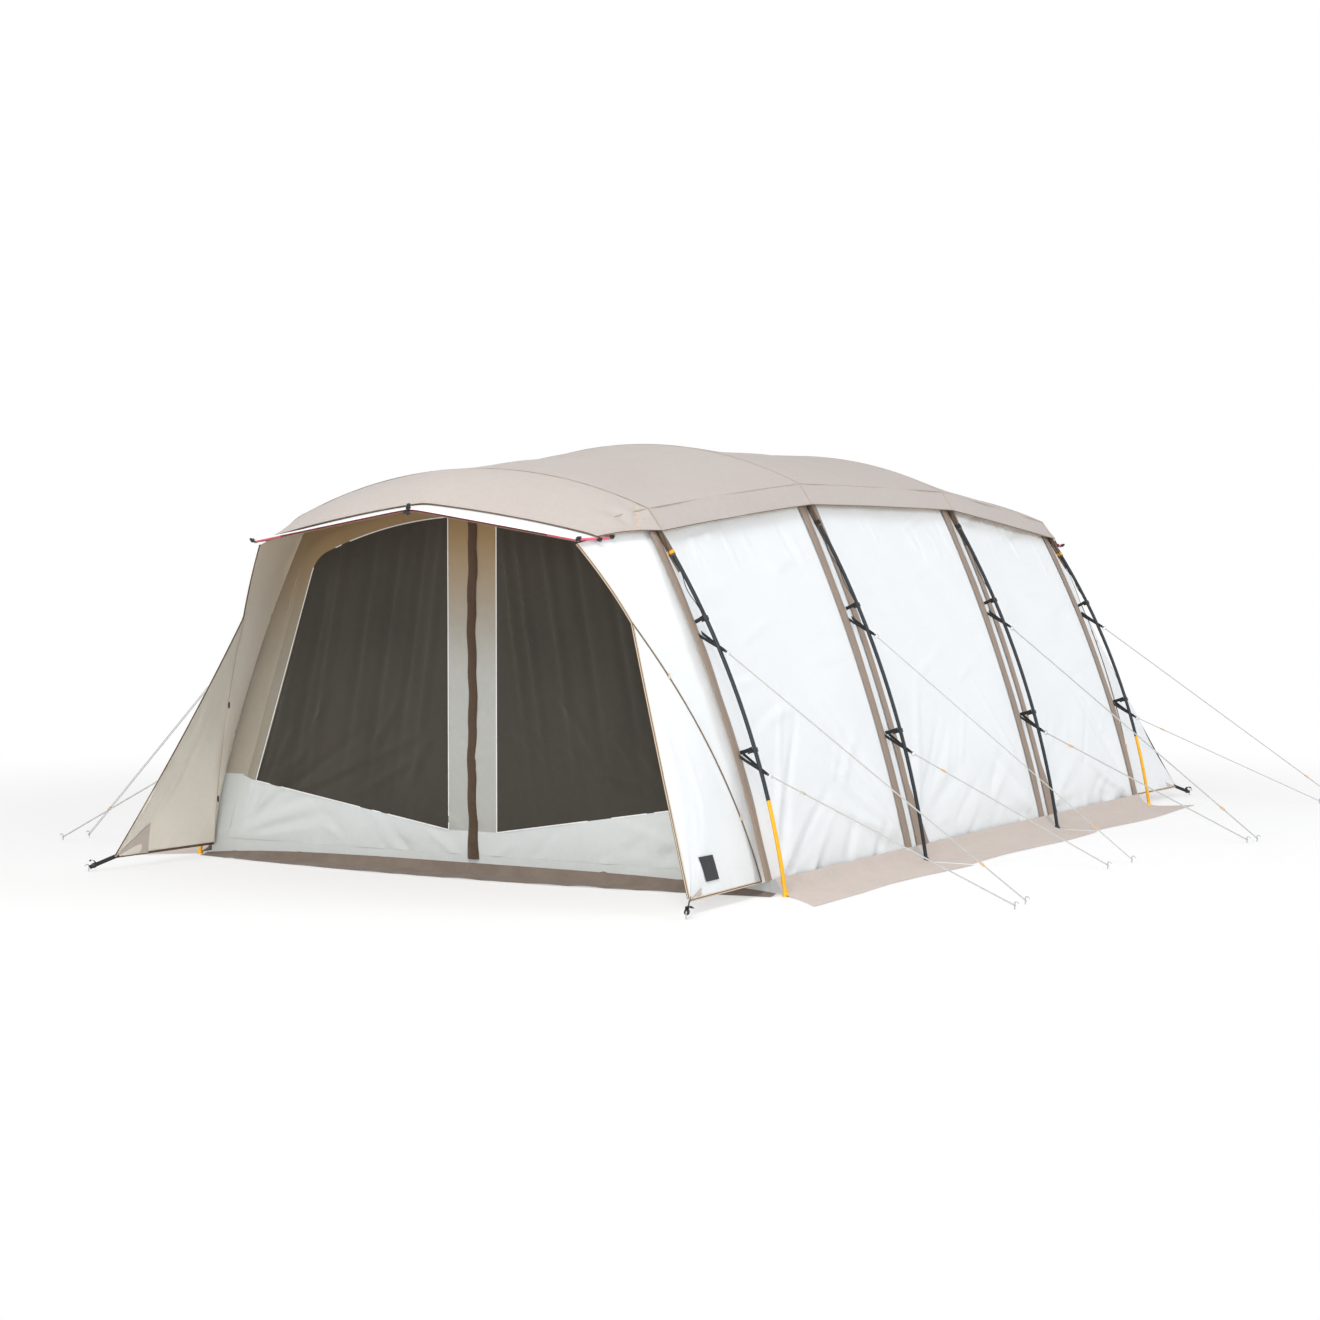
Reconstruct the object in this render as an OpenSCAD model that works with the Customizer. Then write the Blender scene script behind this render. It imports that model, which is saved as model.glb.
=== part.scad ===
// Four-hoop tunnel tent on outside poles, with a roof sheet that overhangs both ends
// into eaves, corner wings, mesh doors at both ends, mud skirts and guy lines.
// Millimetres. +Z is up, +Y runs along the tunnel to the rear, and the origin is on the
// ground under the middle of the tent.

/* [Hoops] */
// Distance between the two feet of a hoop, pole centre to pole centre
hoop_width = 3400; // [3200:20:3600]
// Height of the two middle hoops at the pole centre
mid_hoop_height = 2116; // [2060:4:2180]
// Height of the two end hoops at the pole centre
end_hoop_height = 1940; // [1880:4:2000]
// Lean of every leg at the ground, in degrees from vertical
foot_lean = 8.5; // [7:0.5:10]
// Lean of an end hoop where its leg meets the shoulder bend
end_leg_lean = 36; // [34:0.5:38]
// Lean of an end hoop where its shoulder bend meets the roof arch
end_roof_lean = 68; // [66:0.5:70]
// Lean of a middle hoop where its leg meets the shoulder bend
mid_leg_lean = 33; // [31:0.5:35]
// Lean of a middle hoop where its shoulder bend meets the roof arch
mid_roof_lean = 65.5; // [64:0.5:67.5]
// Radius of the shoulder bend of every hoop
shoulder_radius = 150; // [120:5:180]
// Length of the first and the last bay
end_bay = 1546; // [1400:2:1700]
// Length of the middle bay
mid_bay = 1802; // [1650:2:1950]

/* [Poles] */
// Diameter of the hoop poles
pole_d = 19; // [16:0.5:20]
// Wall of the pole tube
pole_wall = 1.5; // [1:0.1:2.5]
// Height of the joint above the lowest pole section
lower_section_height = 430; // [350:10:520]
// Diameter of the moulded foot under each leg
foot_d = 30; // [26:1:36]
// Height of the moulded foot under each leg
foot_height = 22; // [16:1:30]
// Diameter of the bowed pole in each eave
eave_pole_d = 11; // [8:0.5:14]
// Diameter of the fabric sleeve round the top of each hoop
sleeve_d = 24; // [23:0.5:27]
// Height at which the sleeves of the end hoops begin
end_sleeve_height = 1537; // [1480:5:1580]
// Height at which the sleeves of the middle hoops begin
mid_sleeve_height = 1690; // [1620:5:1720]

/* [Cloth] */
// Thickness of every cloth solid
cloth = 3; // [2:0.5:4]
// Height of the wall hems above the ground
hem_height = 80; // [60:5:100]
// Distance from the pole centre in to the wall at the foot
foot_stand_off = 58; // [40:2:70]
// Inward sag of the cloth in the middle of each bay
bay_sag = 14; // [0:1:24]
// Length of the valance below the crease of the roof sheet
valance = 128; // [90:2:150]
// Length of the eaves, from the end hoop out to the eave pole
eave_reach = 508; // [440:4:560]
// Half width of each eave between its two corners
eave_half_width = 911; // [860:5:950]
// Height of the eave corners
eave_corner_height = 1606; // [1560:2:1640]
// Rise of the bowed eave from its corners to its middle
eave_rise = 180; // [140:5:220]
// Distance of the roof sheet's corners behind the eave pole
edge_setback = 235; // [200:5:270]
// Bow of the roof sheet's edge between its middle and its corners
edge_bow = 45; // [20:5:60]
// Upward bulge of the sloping ends of the roof sheet
slope_bulge = 46; // [0:2:60]

/* [Ends] */
// Half width of the doors at ground level
door_half_width = 1552; // [1500:2:1580]
// Lean of the door's hinge edge, in degrees from vertical
door_lean = 19; // [18:0.5:21]
// Height of the bottom edge of the doors
door_bottom = 92; // [85:1:110]
// Distance from the end hoop's pole centre down to the top of the doors
door_drop = 130; // [90:5:180]
// Radius of the door's upper corner
door_corner_radius = 260; // [150:10:400]
// Gap all round each door leaf
door_gap = 0.9; // [0.9:0.1:3]
// Width of the zip gap between the two door leaves
zip_gap = 8; // [6:1:12]

/* [Wings and skirts] */
// Half distance between the kinks in the wings' seams
kink_half_width = 1110; // [1080:5:1140]
// Distance of the kinks in front of the end hoops
kink_reach = 362; // [330:2:400]
// Height of the kinks
kink_height = 1233; // [1180:5:1280]
// Half distance between the wings' ground corners
wing_half_width = 1617; // [1560:5:1660]
// Distance of the wings' ground corners in front of the end hoops
wing_reach = 740; // [680:5:790]
// Height of the wings' ground corners
wing_corner_height = 62; // [40:2:80]
// Spread of the side skirts from the hem out over the ground
side_skirt = 330; // [250:10:400]
// Spread of the end skirts at their middle
end_skirt = 215; // [150:5:260]
// Half width of the slit that each leg passes through between two skirts
skirt_slit = 26; // [20:1:40]

/* [Guys] */
// Diameter of the guy lines
cord_d = 3.2; // [2.5:0.1:4]
// Distance between the two strands of a guy line
strand_gap = 11; // [10:0.5:13]
// Radius of the guy rings, to the middle of their wire
ring_radius = 11; // [9:0.5:14]
// Diameter of the wire of the guy rings
ring_wire = 4; // [3:0.25:4.5]
// Height of the lower guy ties
lower_tie_height = 556; // [500:5:600]
// Height of the upper guy ties on the end hoops
end_tie_height = 1109; // [1050:5:1150]
// Height of the upper guy ties on the middle hoops
mid_tie_height = 1146; // [1100:5:1200]
// Distance of the lower leg clips above the lower guy ties
lower_clip_rise = 100; // [80:5:130]
// Distance of the upper leg clips above the upper guy ties
upper_clip_rise = 141; // [120:5:170]
// Distance from the pole centre out to the eye of each guy tie
tie_reach = 36; // [33:1:44]
// Slope of the guy ties below level, in degrees
tie_slope = 15; // [5:1:20]
// Distance of the lower tensioners from their rings
lower_tensioner_at = 150; // [110:5:220]
// Distance of the upper tensioners from their pegs
upper_tensioner_at = 260; // [220:5:320]

/* [Hidden] */

// Gap between soft pieces that lie against each other
seat = 0.3;
// Gap where two pole sections butt
joint_gap = 0.4;
// Room under a sheet for its flat facets over a round sleeve
facet_room = 0.6;
pole_r = pole_d / 2;
cord_r = cord_d / 2;
// Colours
pole_black = [0.16, 0.18, 0.20];
pole_orange = [0.96, 0.70, 0.10];
cloth_white = [0.94, 0.96, 0.97];
cloth_greige = [0.80, 0.75, 0.70];
cloth_cream = [0.82, 0.77, 0.66];
cloth_brown = [0.47, 0.40, 0.36];
mesh_grey = [0.34, 0.32, 0.29];
webbing_black = [0.08, 0.08, 0.09];

// Guy pegs on the right side, seen from above, one pair for each hoop: upper line, lower line
guy_pegs = [
    [[2732, -2150], [2755, -2330]],
    [[2611, -433], [2593, -730]],
    [[2866, 830], [2838, 740]],
    [[2630, 3300], [2563, 3130]]
];

/* ---- Hoop geometry ---- */

// A half hoop as three tangent arcs, each [centre, radius, first lean, last lean]. A lean is
// the angle from vertical, and the point of an arc at a lean lies at that angle about its
// centre. The leg's radius is the one that brings the apex to the asked height.
function hoop_arcs(height, leg_lean, roof_lean) =
    let (
        w = hoop_width / 2,
        r2 = shoulder_radius,
        flat = (1 - sin(roof_lean)) / cos(roof_lean),
        bend_rise = r2 * (sin(roof_lean) - sin(leg_lean)),
        bend_run = r2 * (cos(leg_lean) - cos(roof_lean)),
        leg_rise = sin(leg_lean) - sin(foot_lean),
        leg_run = cos(foot_lean) - cos(leg_lean),
        r1 = (height - bend_rise - (w - bend_run) * flat) / (leg_rise - leg_run * flat),
        c1 = [w - r1 * cos(foot_lean), -r1 * sin(foot_lean)],
        c2 = c1 + (r1 - r2) * [cos(leg_lean), sin(leg_lean)],
        r3 = c2[0] / cos(roof_lean) + r2,
        c3 = c2 + (r2 - r3) * [cos(roof_lean), sin(roof_lean)]
    )
    [[c1, r1, foot_lean, leg_lean], [c2, r2, leg_lean, roof_lean], [c3, r3, roof_lean, 90]];

end_arcs = hoop_arcs(end_hoop_height, end_leg_lean, end_roof_lean);
mid_arcs = hoop_arcs(mid_hoop_height, mid_leg_lean, mid_roof_lean);
hoops = [end_arcs, mid_arcs, mid_arcs, end_arcs];
hoop_y = [-mid_bay / 2 - end_bay, -mid_bay / 2, mid_bay / 2, mid_bay / 2 + end_bay];

function polar(a) = [cos(a), sin(a)];
function mix(a, b, t) = a + (b - a) * t;
function unit(v) = v / norm(v);
function which_arc(arcs, lean) = lean < arcs[0][3] ? arcs[0] : lean < arcs[1][3] ? arcs[1] : arcs[2];
// Point of a half hoop at a lean, moved out from the pole centre by off
function hoop_point(arcs, lean, off) =
    let (arc = which_arc(arcs, lean)) arc[0] + (arc[1] + off) * polar(lean);
// Lean of a leg's pole centre at a height
function leg_lean_at(arcs, z) = asin((z - arcs[0][0][1]) / arcs[0][1]);

// How far the wall lies inside the pole centre at a lean: wide at the foot, close at the sleeve
top_stand_off = sleeve_d / 2 + seat;
function stand_off(arcs, lean) =
    mix(foot_stand_off, top_stand_off,
        min(1, max(0, (lean - arcs[0][2]) / (arcs[0][3] - arcs[0][2]))));

/* ---- Cloth sheets ---- */

// Closed solid between two grids of points of the same size: the outer face and the inner
// face of a sheet. Rows run along the first index.
module sheet_solid(outer, inner) {
    rows = len(outer);
    cols = len(outer[0]);
    count = rows * cols;
    points = concat([for (row = outer) for (p = row) p], [for (row = inner) for (p = row) p]);
    skins = [
        for (i = [0 : rows - 2]) for (j = [0 : cols - 2])
            let (a = i * cols + j, b = a + 1, c = a + cols, d = c + 1)
            each [[a, b, d], [a, d, c],
                  [count + a, count + d, count + b], [count + a, count + c, count + d]]
    ];
    first_col = [for (i = [0 : rows - 2]) [i * cols, (i + 1) * cols]];
    last_col = [for (i = [0 : rows - 2]) [(i + 2) * cols - 1, (i + 1) * cols - 1]];
    first_row = [for (j = [0 : cols - 2]) [j + 1, j]];
    last_row = [for (j = [0 : cols - 2]) [(rows - 1) * cols + j, (rows - 1) * cols + j + 1]];
    rim = [
        for (e = concat(first_col, last_col, first_row, last_row))
            each [[e[0], e[1], count + e[1]], [e[0], count + e[1], count + e[0]]]
    ];
    polyhedron(points, concat(skins, rim));
}

// Mirrors its children to the left side when side is -1
module on_side(side) {
    if (side < 0) mirror([1, 0, 0]) children();
    else children();
}

// Mirrors its children to the rear when end is 1
module at_end(end) {
    if (end > 0) mirror([0, 1, 0]) children();
    else children();
}

// One arc of a half hoop as a round bar or tube in the plane y
module arc_tube(arc, y, from, to, r_out, r_in) {
    translate([arc[0][0], y, arc[0][1]])
        rotate([90, 0, 0])
            rotate([0, 0, from])
                rotate_extrude(angle = to - from, $fn = 180)
                    translate([arc[1], 0])
                        difference() {
                            circle(r_out, $fn = 32);
                            if (r_in > 0) circle(r_in, $fn = 32);
                        }
}

// Points its children's z axis from a to b, with their y axis level
module along(a, b) {
    d = b - a;
    translate(a)
        rotate([0, acos(d[2] / norm(d)), atan2(d[1], d[0])])
            children();
}

/* ---- Poles ---- */

// Sections of one side of a hoop above its lowest one, each [arc, first lean, last lean]
function pole_sections(arcs) =
    let (
        joint = leg_lean_at(arcs, lower_section_height),
        middle = mix(joint, arcs[0][3], 0.45)
    )
    [[arcs[0], joint, middle], [arcs[0], middle, arcs[0][3]],
     [arcs[1], arcs[1][2], arcs[1][3]], [arcs[2], arcs[2][2], 90]];

// Tube sections that butt at their joints
module hoop_pole(i) {
    for (side = [-1, 1]) for (s = pole_sections(hoops[i])) {
        trim = joint_gap / 2 / s[0][1] * 180 / PI;
        on_side(side)
            arc_tube(s[0], hoop_y[i], s[1] + trim, s[2] - trim, pole_r, pole_r - pole_wall);
    }
}

// Lowest section of a leg, plugged in its moulded foot
module leg_section(i) {
    arcs = hoops[i];
    joint = leg_lean_at(arcs, lower_section_height);
    start = leg_lean_at(arcs, foot_height / 2);
    arc_tube(arcs[0], hoop_y[i], start, joint, pole_r, pole_r - pole_wall);
    foot = hoop_point(arcs, leg_lean_at(arcs, foot_height / 2), 0);
    translate([foot[0], hoop_y[i], 0]) {
        cylinder(d = foot_d, h = foot_height / 2, $fn = 48);
        translate([0, 0, foot_height / 2])
            cylinder(d1 = foot_d, d2 = pole_d + 3, h = foot_height / 2, $fn = 48);
    }
}

module hoop_1() { color(pole_black) hoop_pole(0); }
module hoop_2() { color(pole_black) hoop_pole(1); }
module hoop_3() { color(pole_black) hoop_pole(2); }
module hoop_4() { color(pole_black) hoop_pole(3); }

module end_legs() {
    color(pole_orange)
        for (i = [0, 3]) for (side = [-1, 1])
            on_side(side) leg_section(i);
}

module mid_legs() {
    color(pole_black)
        for (i = [1, 2]) for (side = [-1, 1])
            on_side(side) leg_section(i);
}

// Panels of the sleeves sewn round the upper part of each hoop
module pole_sleeves() {
    color(cloth_brown)
        for (i = [0 : 3]) for (side = [-1, 1]) {
            arcs = hoops[i];
            start = leg_lean_at(arcs, (i == 0 || i == 3) ? end_sleeve_height : mid_sleeve_height);
            panels = [
                [arcs[0], start, arcs[0][3]], [arcs[1], arcs[1][2], arcs[1][3]],
                [arcs[2], arcs[2][2], 90]
            ];
            for (s = panels) {
                trim = joint_gap / 2 / s[0][1] * 180 / PI;
                on_side(side)
                    arc_tube(s[0], hoop_y[i], s[1] + trim, s[2] - trim, sleeve_d / 2, pole_r + seat);
            }
        }
}

/* ---- Eaves ---- */

eave_y = hoop_y[0] - eave_reach;
eave_radius = (eave_half_width * eave_half_width + eave_rise * eave_rise) / (2 * eave_rise);
eave_centre_z = eave_corner_height + eave_rise - eave_radius;
eave_half_angle = asin(eave_half_width / eave_radius);
eave_arc = [[0, eave_centre_z], eave_radius, 90 - eave_half_angle, 90];
// Length of each moulded end of an eave pole
tip_length = 46;
// Distance of the sheet's corners from the ends of the eave poles
corner_inset = 12;
tip_angle = tip_length / eave_radius * 180 / PI;

module eave_poles() {
    color([0.42, 0.07, 0.10])
        for (end = [-1, 1])
            at_end(end)
                arc_tube(eave_arc, eave_y, eave_arc[2] + tip_angle, 180 - eave_arc[2] - tip_angle,
                    eave_pole_d / 2, 0);
}

// Moulded ends of the eave poles, each with an elbow at the corner of the canopy and a rod
// that runs back along the canopy's side to the corner of the roof sheet
module eave_tips() {
    r = eave_pole_d / 2;
    elbow_r = 1.3 * r;
    corner = eave_arc[0] + eave_arc[1] * polar(eave_arc[2]);
    elbow = [corner[0], eave_y, corner[1]];
    side_t = edge_at(0) + 3 * r / eave_reach;
    rod_end = canopy_point(0, side_t, -cloth - seat - r) + [corner_inset, 0, 0];
    color([0.90, 0.36, 0.48])
        for (end = [-1, 1]) for (side = [-1, 1])
            at_end(end) on_side(side) {
                arc_tube(eave_arc, eave_y, eave_arc[2], eave_arc[2] + tip_angle, r, 0);
                translate(elbow) sphere(elbow_r, $fn = 32);
                along(elbow, rod_end)
                    translate([0, 0, elbow_r + seat])
                        cylinder(r = r, h = norm(rod_end - elbow) - elbow_r - seat, $fn = 32);
                translate(rod_end) sphere(elbow_r, $fn = 32);
            }
}

// Height of the canopy's outer face above the middle of the eave pole
canopy_rise = eave_pole_d / 2 + seat + cloth;
// Lean of the canopy's side edge on the end hoop, just above the wall and the wing
canopy_lean = end_leg_lean + 2.5;
// Part of the way from the canopy's side to its middle that lies on the hoop's shoulder bend
shoulder_part = 0.1;

// Point over the eave pole at a part p of the way from the canopy's side to its middle
function eave_point(p, rise) =
    let (from = eave_arc[2] + corner_inset / eave_radius * 180 / PI)
    eave_arc[0] + (eave_radius + rise) * polar(mix(from, 90, p));

// Point of the canopy's outer face, moved up by off: p is 0 at its side and 1 at its middle,
// t is 0 at the end hoop and 1 over the eave pole
function canopy_point(p, t, off) =
    let (
        lean = p < shoulder_part
            ? mix(canopy_lean, end_roof_lean, p / shoulder_part)
            : mix(end_roof_lean, 90, (p - shoulder_part) / (1 - shoulder_part)),
        q = mix(hoop_point(end_arcs, lean, off - top_stand_off), eave_point(p, canopy_rise + off), t)
    )
    [q[0], mix(hoop_y[0] - seat, eave_y, t), q[1]];

// Part p of each point of a half row, which are as many as in a section of the roof sheet
function row_part(n) = n == 0 ? 0 : mix(shoulder_part, 1, (n - 1) / arch_steps);
// Where the roof sheet's edge lies on the canopy, as a part t
function edge_at(p) = 1 - (edge_setback * (1 - p) + edge_bow * 4 * p * (1 - p)) / eave_reach;

// Row of the hem that folds over the front of the eave pole
function canopy_hem(rise, off) =
    whole_row([for (n = [0 : arch_steps + 1])
        let (q = eave_point(row_part(n), rise)) [q[0], eave_y - canopy_rise - off, q[1]]]);

function canopy_rows(off) = concat(
    [for (k = [0 : bay_steps])
        whole_row([for (n = [0 : arch_steps + 1]) canopy_point(row_part(n), k / bay_steps, off)])],
    [canopy_hem(canopy_rise + off, off), canopy_hem(-eave_pole_d / 2, off)]
);

// White cloth of the tent's body that runs out from each end hoop over the eave pole
module eave_canopies() {
    color(cloth_white)
        for (end = [-1, 1])
            at_end(end) sheet_solid(canopy_rows(-cloth), canopy_rows(0));
}

/* ---- Roof sheet ---- */

sheet_in = sleeve_d / 2 + seat + facet_room;
sheet_out = sheet_in + cloth;
arch_steps = 12;
bay_steps = 4;

// Section of the roof sheet over a hoop, from the right hem to the apex: hem, crease, arch
function roof_section(arcs, off) =
    let (
        half_bend = (arcs[1][3] - arcs[1][2]) / 2,
        crease = arcs[1][0] + (arcs[1][1] + off) / cos(half_bend) * polar(arcs[1][2] + half_bend),
        down = [sin(arcs[1][2]), -cos(arcs[1][2])],
        hem = crease + down * valance
    )
    concat([hem, crease],
        [for (k = [1 : arch_steps]) hoop_point(arcs, mix(arcs[2][2], 90, k / arch_steps), off)]);

// Right half and left half of a section or a row of points as one
function mirrored(p) = concat([-p[0]], [for (k = [1 : len(p) - 1]) p[k]]);
function whole_row(half) = concat(half, [for (k = [len(half) - 2 : -1 : 0]) mirrored(half[k])]);

// Row of a sheet at y, from its section in the plane of the hoops
function row_at(section, y) = [for (p = section) [p[0], y, p[1]]];
// Sag of the cloth at a part t of a bay
function sag_at(t) = bay_sag * 4 * t * (1 - t);

function roof_rows(i, off) = [
    for (k = [0 : bay_steps])
        let (
            t = k / bay_steps,
            a = whole_row(roof_section(hoops[i], off - sag_at(t))),
            b = whole_row(roof_section(hoops[i + 1], off - sag_at(t)))
        )
        row_at(mix(a, b, t), mix(hoop_y[i], hoop_y[i + 1], t))
];

module roof_bay(i) {
    color(cloth_greige) sheet_solid(roof_rows(i, sheet_out), roof_rows(i, sheet_in));
}

// Bulge of a sloping end at its sides, as a part of that in its middle
side_bulge = 0.3;

// Rows of a sloping end: level over the sleeve, then down to its edge on the canopy
function slope_rows(off, lift) =
    let (top = roof_section(end_arcs, off), level_y = hoop_y[0] - sleeve_d / 2)
    concat(
        [row_at(whole_row(top), hoop_y[0])],
        [for (k = [0 : bay_steps])
            let (t = k / bay_steps)
            whole_row([for (n = [0 : arch_steps + 1])
                let (
                    p = row_part(n),
                    edge = canopy_point(p, edge_at(p), lift),
                    bulge = slope_bulge * max(p, side_bulge) * 4 * t * (1 - t)
                )
                mix([top[n][0], level_y, top[n][1]], edge, t) + [0, 0, bulge]])]
    );

// Sloping end of the roof sheet, out over the canopy
module roof_slope() {
    lift = seat + facet_room;
    color(cloth_greige) sheet_solid(slope_rows(sheet_in, lift), slope_rows(sheet_out, lift + cloth));
}

module roof_front() { roof_slope(); }
module roof_rear() { at_end(1) roof_slope(); }
module roof_bay_1() { roof_bay(0); }
module roof_bay_2() { roof_bay(1); }
module roof_bay_3() { roof_bay(2); }

/* ---- Walls and ceiling ---- */

wall_steps = 14;

// Lean of the wall's upper edge on a hoop, just short of the ceiling's edge
function wall_top(arcs) = arcs[0][3] - seat / arcs[0][1] * 180 / PI;

// Section of a wall from its hem to the shoulder, with its outer face off outside the seam line
function wall_section(arcs, off) =
    let (hem = leg_lean_at(arcs, hem_height))
    [for (k = [0 : wall_steps])
        let (lean = mix(hem, wall_top(arcs), k / wall_steps))
        hoop_point(arcs, lean, off - stand_off(arcs, lean))];

function wall_rows(i, off) = [
    for (k = [0 : bay_steps])
        let (
            t = k / bay_steps,
            a = wall_section(hoops[i], off - sag_at(t)),
            b = wall_section(hoops[i + 1], off - sag_at(t))
        )
        row_at(mix(a, b, t), mix(hoop_y[i], hoop_y[i + 1], t))
];

module wall(side, i) {
    color(cloth_white) on_side(side) sheet_solid(wall_rows(i, 0), wall_rows(i, -cloth));
}

module wall_left_1() { wall(-1, 0); }
module wall_left_2() { wall(-1, 1); }
module wall_left_3() { wall(-1, 2); }
module wall_right_1() { wall(1, 0); }
module wall_right_2() { wall(1, 1); }
module wall_right_3() { wall(1, 2); }

// Section of the ceiling from the shoulder to the apex
function ceiling_section(arcs, off) = concat(
    [for (k = [0 : 3]) hoop_point(arcs, mix(arcs[1][2], arcs[1][3], k / 3), off - top_stand_off)],
    [for (k = [1 : arch_steps]) hoop_point(arcs, mix(arcs[2][2], 90, k / arch_steps), off - top_stand_off)]
);

function ceiling_rows(off) = [
    for (i = [0 : 2]) for (k = [(i == 0 ? 0 : 1) : bay_steps])
        let (
            t = k / bay_steps,
            a = whole_row(ceiling_section(hoops[i], off - sag_at(t))),
            b = whole_row(ceiling_section(hoops[i + 1], off - sag_at(t)))
        )
        row_at(mix(a, b, t), mix(hoop_y[i], hoop_y[i + 1], t))
];

module ceiling() {
    color(cloth_cream) sheet_solid(ceiling_rows(0), ceiling_rows(-cloth));
}

/* ---- Wings ---- */

eave_corner = [eave_half_width - eave_pole_d, eave_y + eave_pole_d + 4, eave_corner_height - 2 * eave_pole_d];
kink = [kink_half_width, hoop_y[0] - kink_reach, kink_height];
wing_corner = [wing_half_width, hoop_y[0] - wing_reach, wing_corner_height];
wing_inward = cloth * unit([-0.8, 0.5, -0.3]);
// From the lower end of the wing's edge on the hoop to the foot of its seam
wing_foot_step = [-35, -22, -12];

// Edge of a wing on the end hoop, just in front of the wall's edge
function wing_back_edge(t) =
    let (
        hem = leg_lean_at(end_arcs, hem_height),
        lean = mix(hem, wall_top(end_arcs), t),
        p = hoop_point(end_arcs, lean, -stand_off(end_arcs, lean))
    )
    [p[0], hoop_y[0] - cloth, p[1]];

wing_foot = wing_back_edge(0) + wing_foot_step;

// Part of the way up a wing's seam at which its kink lies, and the parts of all its rows
at_kink = (kink[2] - wing_foot[2]) / (eave_corner[2] - wing_foot[2]);
wing_parts = concat([for (k = [0 : 6]) at_kink * k / 6], [mix(at_kink, 1, 0.5), 1]);

// Seam of a wing, from its foot past the kink to the eave corner
function wing_seam(t) =
    t < at_kink ? mix(wing_foot, kink, t / at_kink)
                : mix(kink, eave_corner, (t - at_kink) / (1 - at_kink));

function wing_rows(shift) = [
    for (t = wing_parts)
        let (a = wing_seam(t), b = wing_back_edge(t))
        [a + shift, mix(a, b, 0.5) + shift, b + shift]
];

// Rows of the triangle between the seam and the pegged corner, which stops just short of a point
function fan_rows(shift) = [
    for (t = wing_parts) if (t <= at_kink)
        [mix(wing_seam(t), wing_corner, 0.999) + shift, wing_seam(t) + shift]
];

// Upper panel between the hoop and the seam, and the triangle pegged out in front of it
module wing(side, end) {
    color(cloth_white) at_end(end) on_side(side) {
        sheet_solid(wing_rows([0, 0, 0]), wing_rows(wing_inward));
        sheet_solid(fan_rows([0, 0, 0]), fan_rows(wing_inward));
    }
}

module wing_front_left() { wing(-1, -1); }
module wing_front_right() { wing(1, -1); }
module wing_rear_left() { wing(-1, 1); }
module wing_rear_right() { wing(1, 1); }

/* ---- End walls and doors ---- */

// Half outline of the door opening, grown by gap: hinge edge, rounded corner, arched top
function door_half(gap) =
    let (
        c3 = end_arcs[2][0],
        rt = end_arcs[2][1] - door_drop + gap,
        rf = door_corner_radius + gap,
        foot = [door_half_width + gap / cos(door_lean), 0],
        up = [-sin(door_lean), cos(door_lean)],
        inward = [-cos(door_lean), -sin(door_lean)],
        v = foot + rf * inward - c3,
        s = -v * up + sqrt((v * up) * (v * up) - v * v + (rt - rf) * (rt - rf)),
        c = foot + s * up + rf * inward,
        top_from = atan2(c[1] - c3[1], c[0] - c3[0]),
        bottom = door_bottom - gap
    )
    concat(
        [foot + up * bottom / up[1]],
        [for (k = [0 : 6]) c + rf * polar(mix(door_lean, top_from, k / 6))],
        [for (k = [1 : 8]) c3 + rt * polar(mix(top_from, 90, k / 8))]
    );

// Whole opening of an end wall
module door_opening() {
    half = door_half(door_gap);
    polygon(concat(half, [for (k = [len(half) - 1 : -1 : 0]) [-half[k][0], half[k][1]]]));
}

// Lower edge of the sill under the doors
sill_low = door_bottom - 26;

// Outline of an end wall inside the walls and the ceiling
module end_wall_outline() {
    inset = -cloth - seat;
    half = concat(
        [wall_section(end_arcs, inset)[0] + [0, sill_low - hem_height]],
        wall_section(end_arcs, inset),
        ceiling_section(end_arcs, inset)
    );
    polygon(concat(half, [for (k = [len(half) - 1 : -1 : 0]) [-half[k][0], half[k][1]]]));
}

module end_wall() {
    color(cloth_cream)
        translate([0, hoop_y[0] + cloth, 0])
            rotate([90, 0, 0])
                linear_extrude(cloth)
                    difference() {
                        end_wall_outline();
                        door_opening();
                    }
}

// Right leaf of an end's double door
module door_leaf() {
    half = door_half(0);
    last = half[len(half) - 1];
    color(mesh_grey)
        translate([0, hoop_y[0] + cloth, 0])
            rotate([90, 0, 0])
                linear_extrude(cloth)
                    intersection() {
                        polygon(concat(half, [[0, half[0][1]]]));
                        translate([zip_gap / 2, 0]) square([door_half_width, last[1]]);
                    }
}

module front_wall() { end_wall(); }
module rear_wall() { at_end(1) end_wall(); }
module door_front_right() { door_leaf(); }
module door_front_left() { on_side(-1) door_leaf(); }
module door_rear_right() { at_end(1) door_leaf(); }
module door_rear_left() { at_end(1) on_side(-1) door_leaf(); }

// Zip slider between the two leaves of a door, with its pull in front
module zip_slider() {
    width = zip_gap - 2 * seat;
    height = 18;
    depth = cloth + 4;
    pull = 24;
    pull_thickness = 2;
    color(webbing_black)
        translate([0, hoop_y[0] + cloth / 2, door_bottom + pull_thickness]) {
            translate([-width / 2, -depth / 2, 0]) cube([width, depth, height]);
            translate([-width / 2, -depth / 2 - pull_thickness, height - pull])
                cube([width, pull_thickness, pull]);
        }
}

module zip_slider_front() { zip_slider(); }
module zip_slider_rear() { at_end(1) zip_slider(); }

/* ---- Skirts ---- */

// Height of the bend of a skirt
bend_height = 30;
// Distances from the wall at which a side skirt bends and comes to the ground
bend_at = 45;
ground_at = 120;
// Depth of the waves in a side skirt's loose edge
wave_depth = 20;

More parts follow.
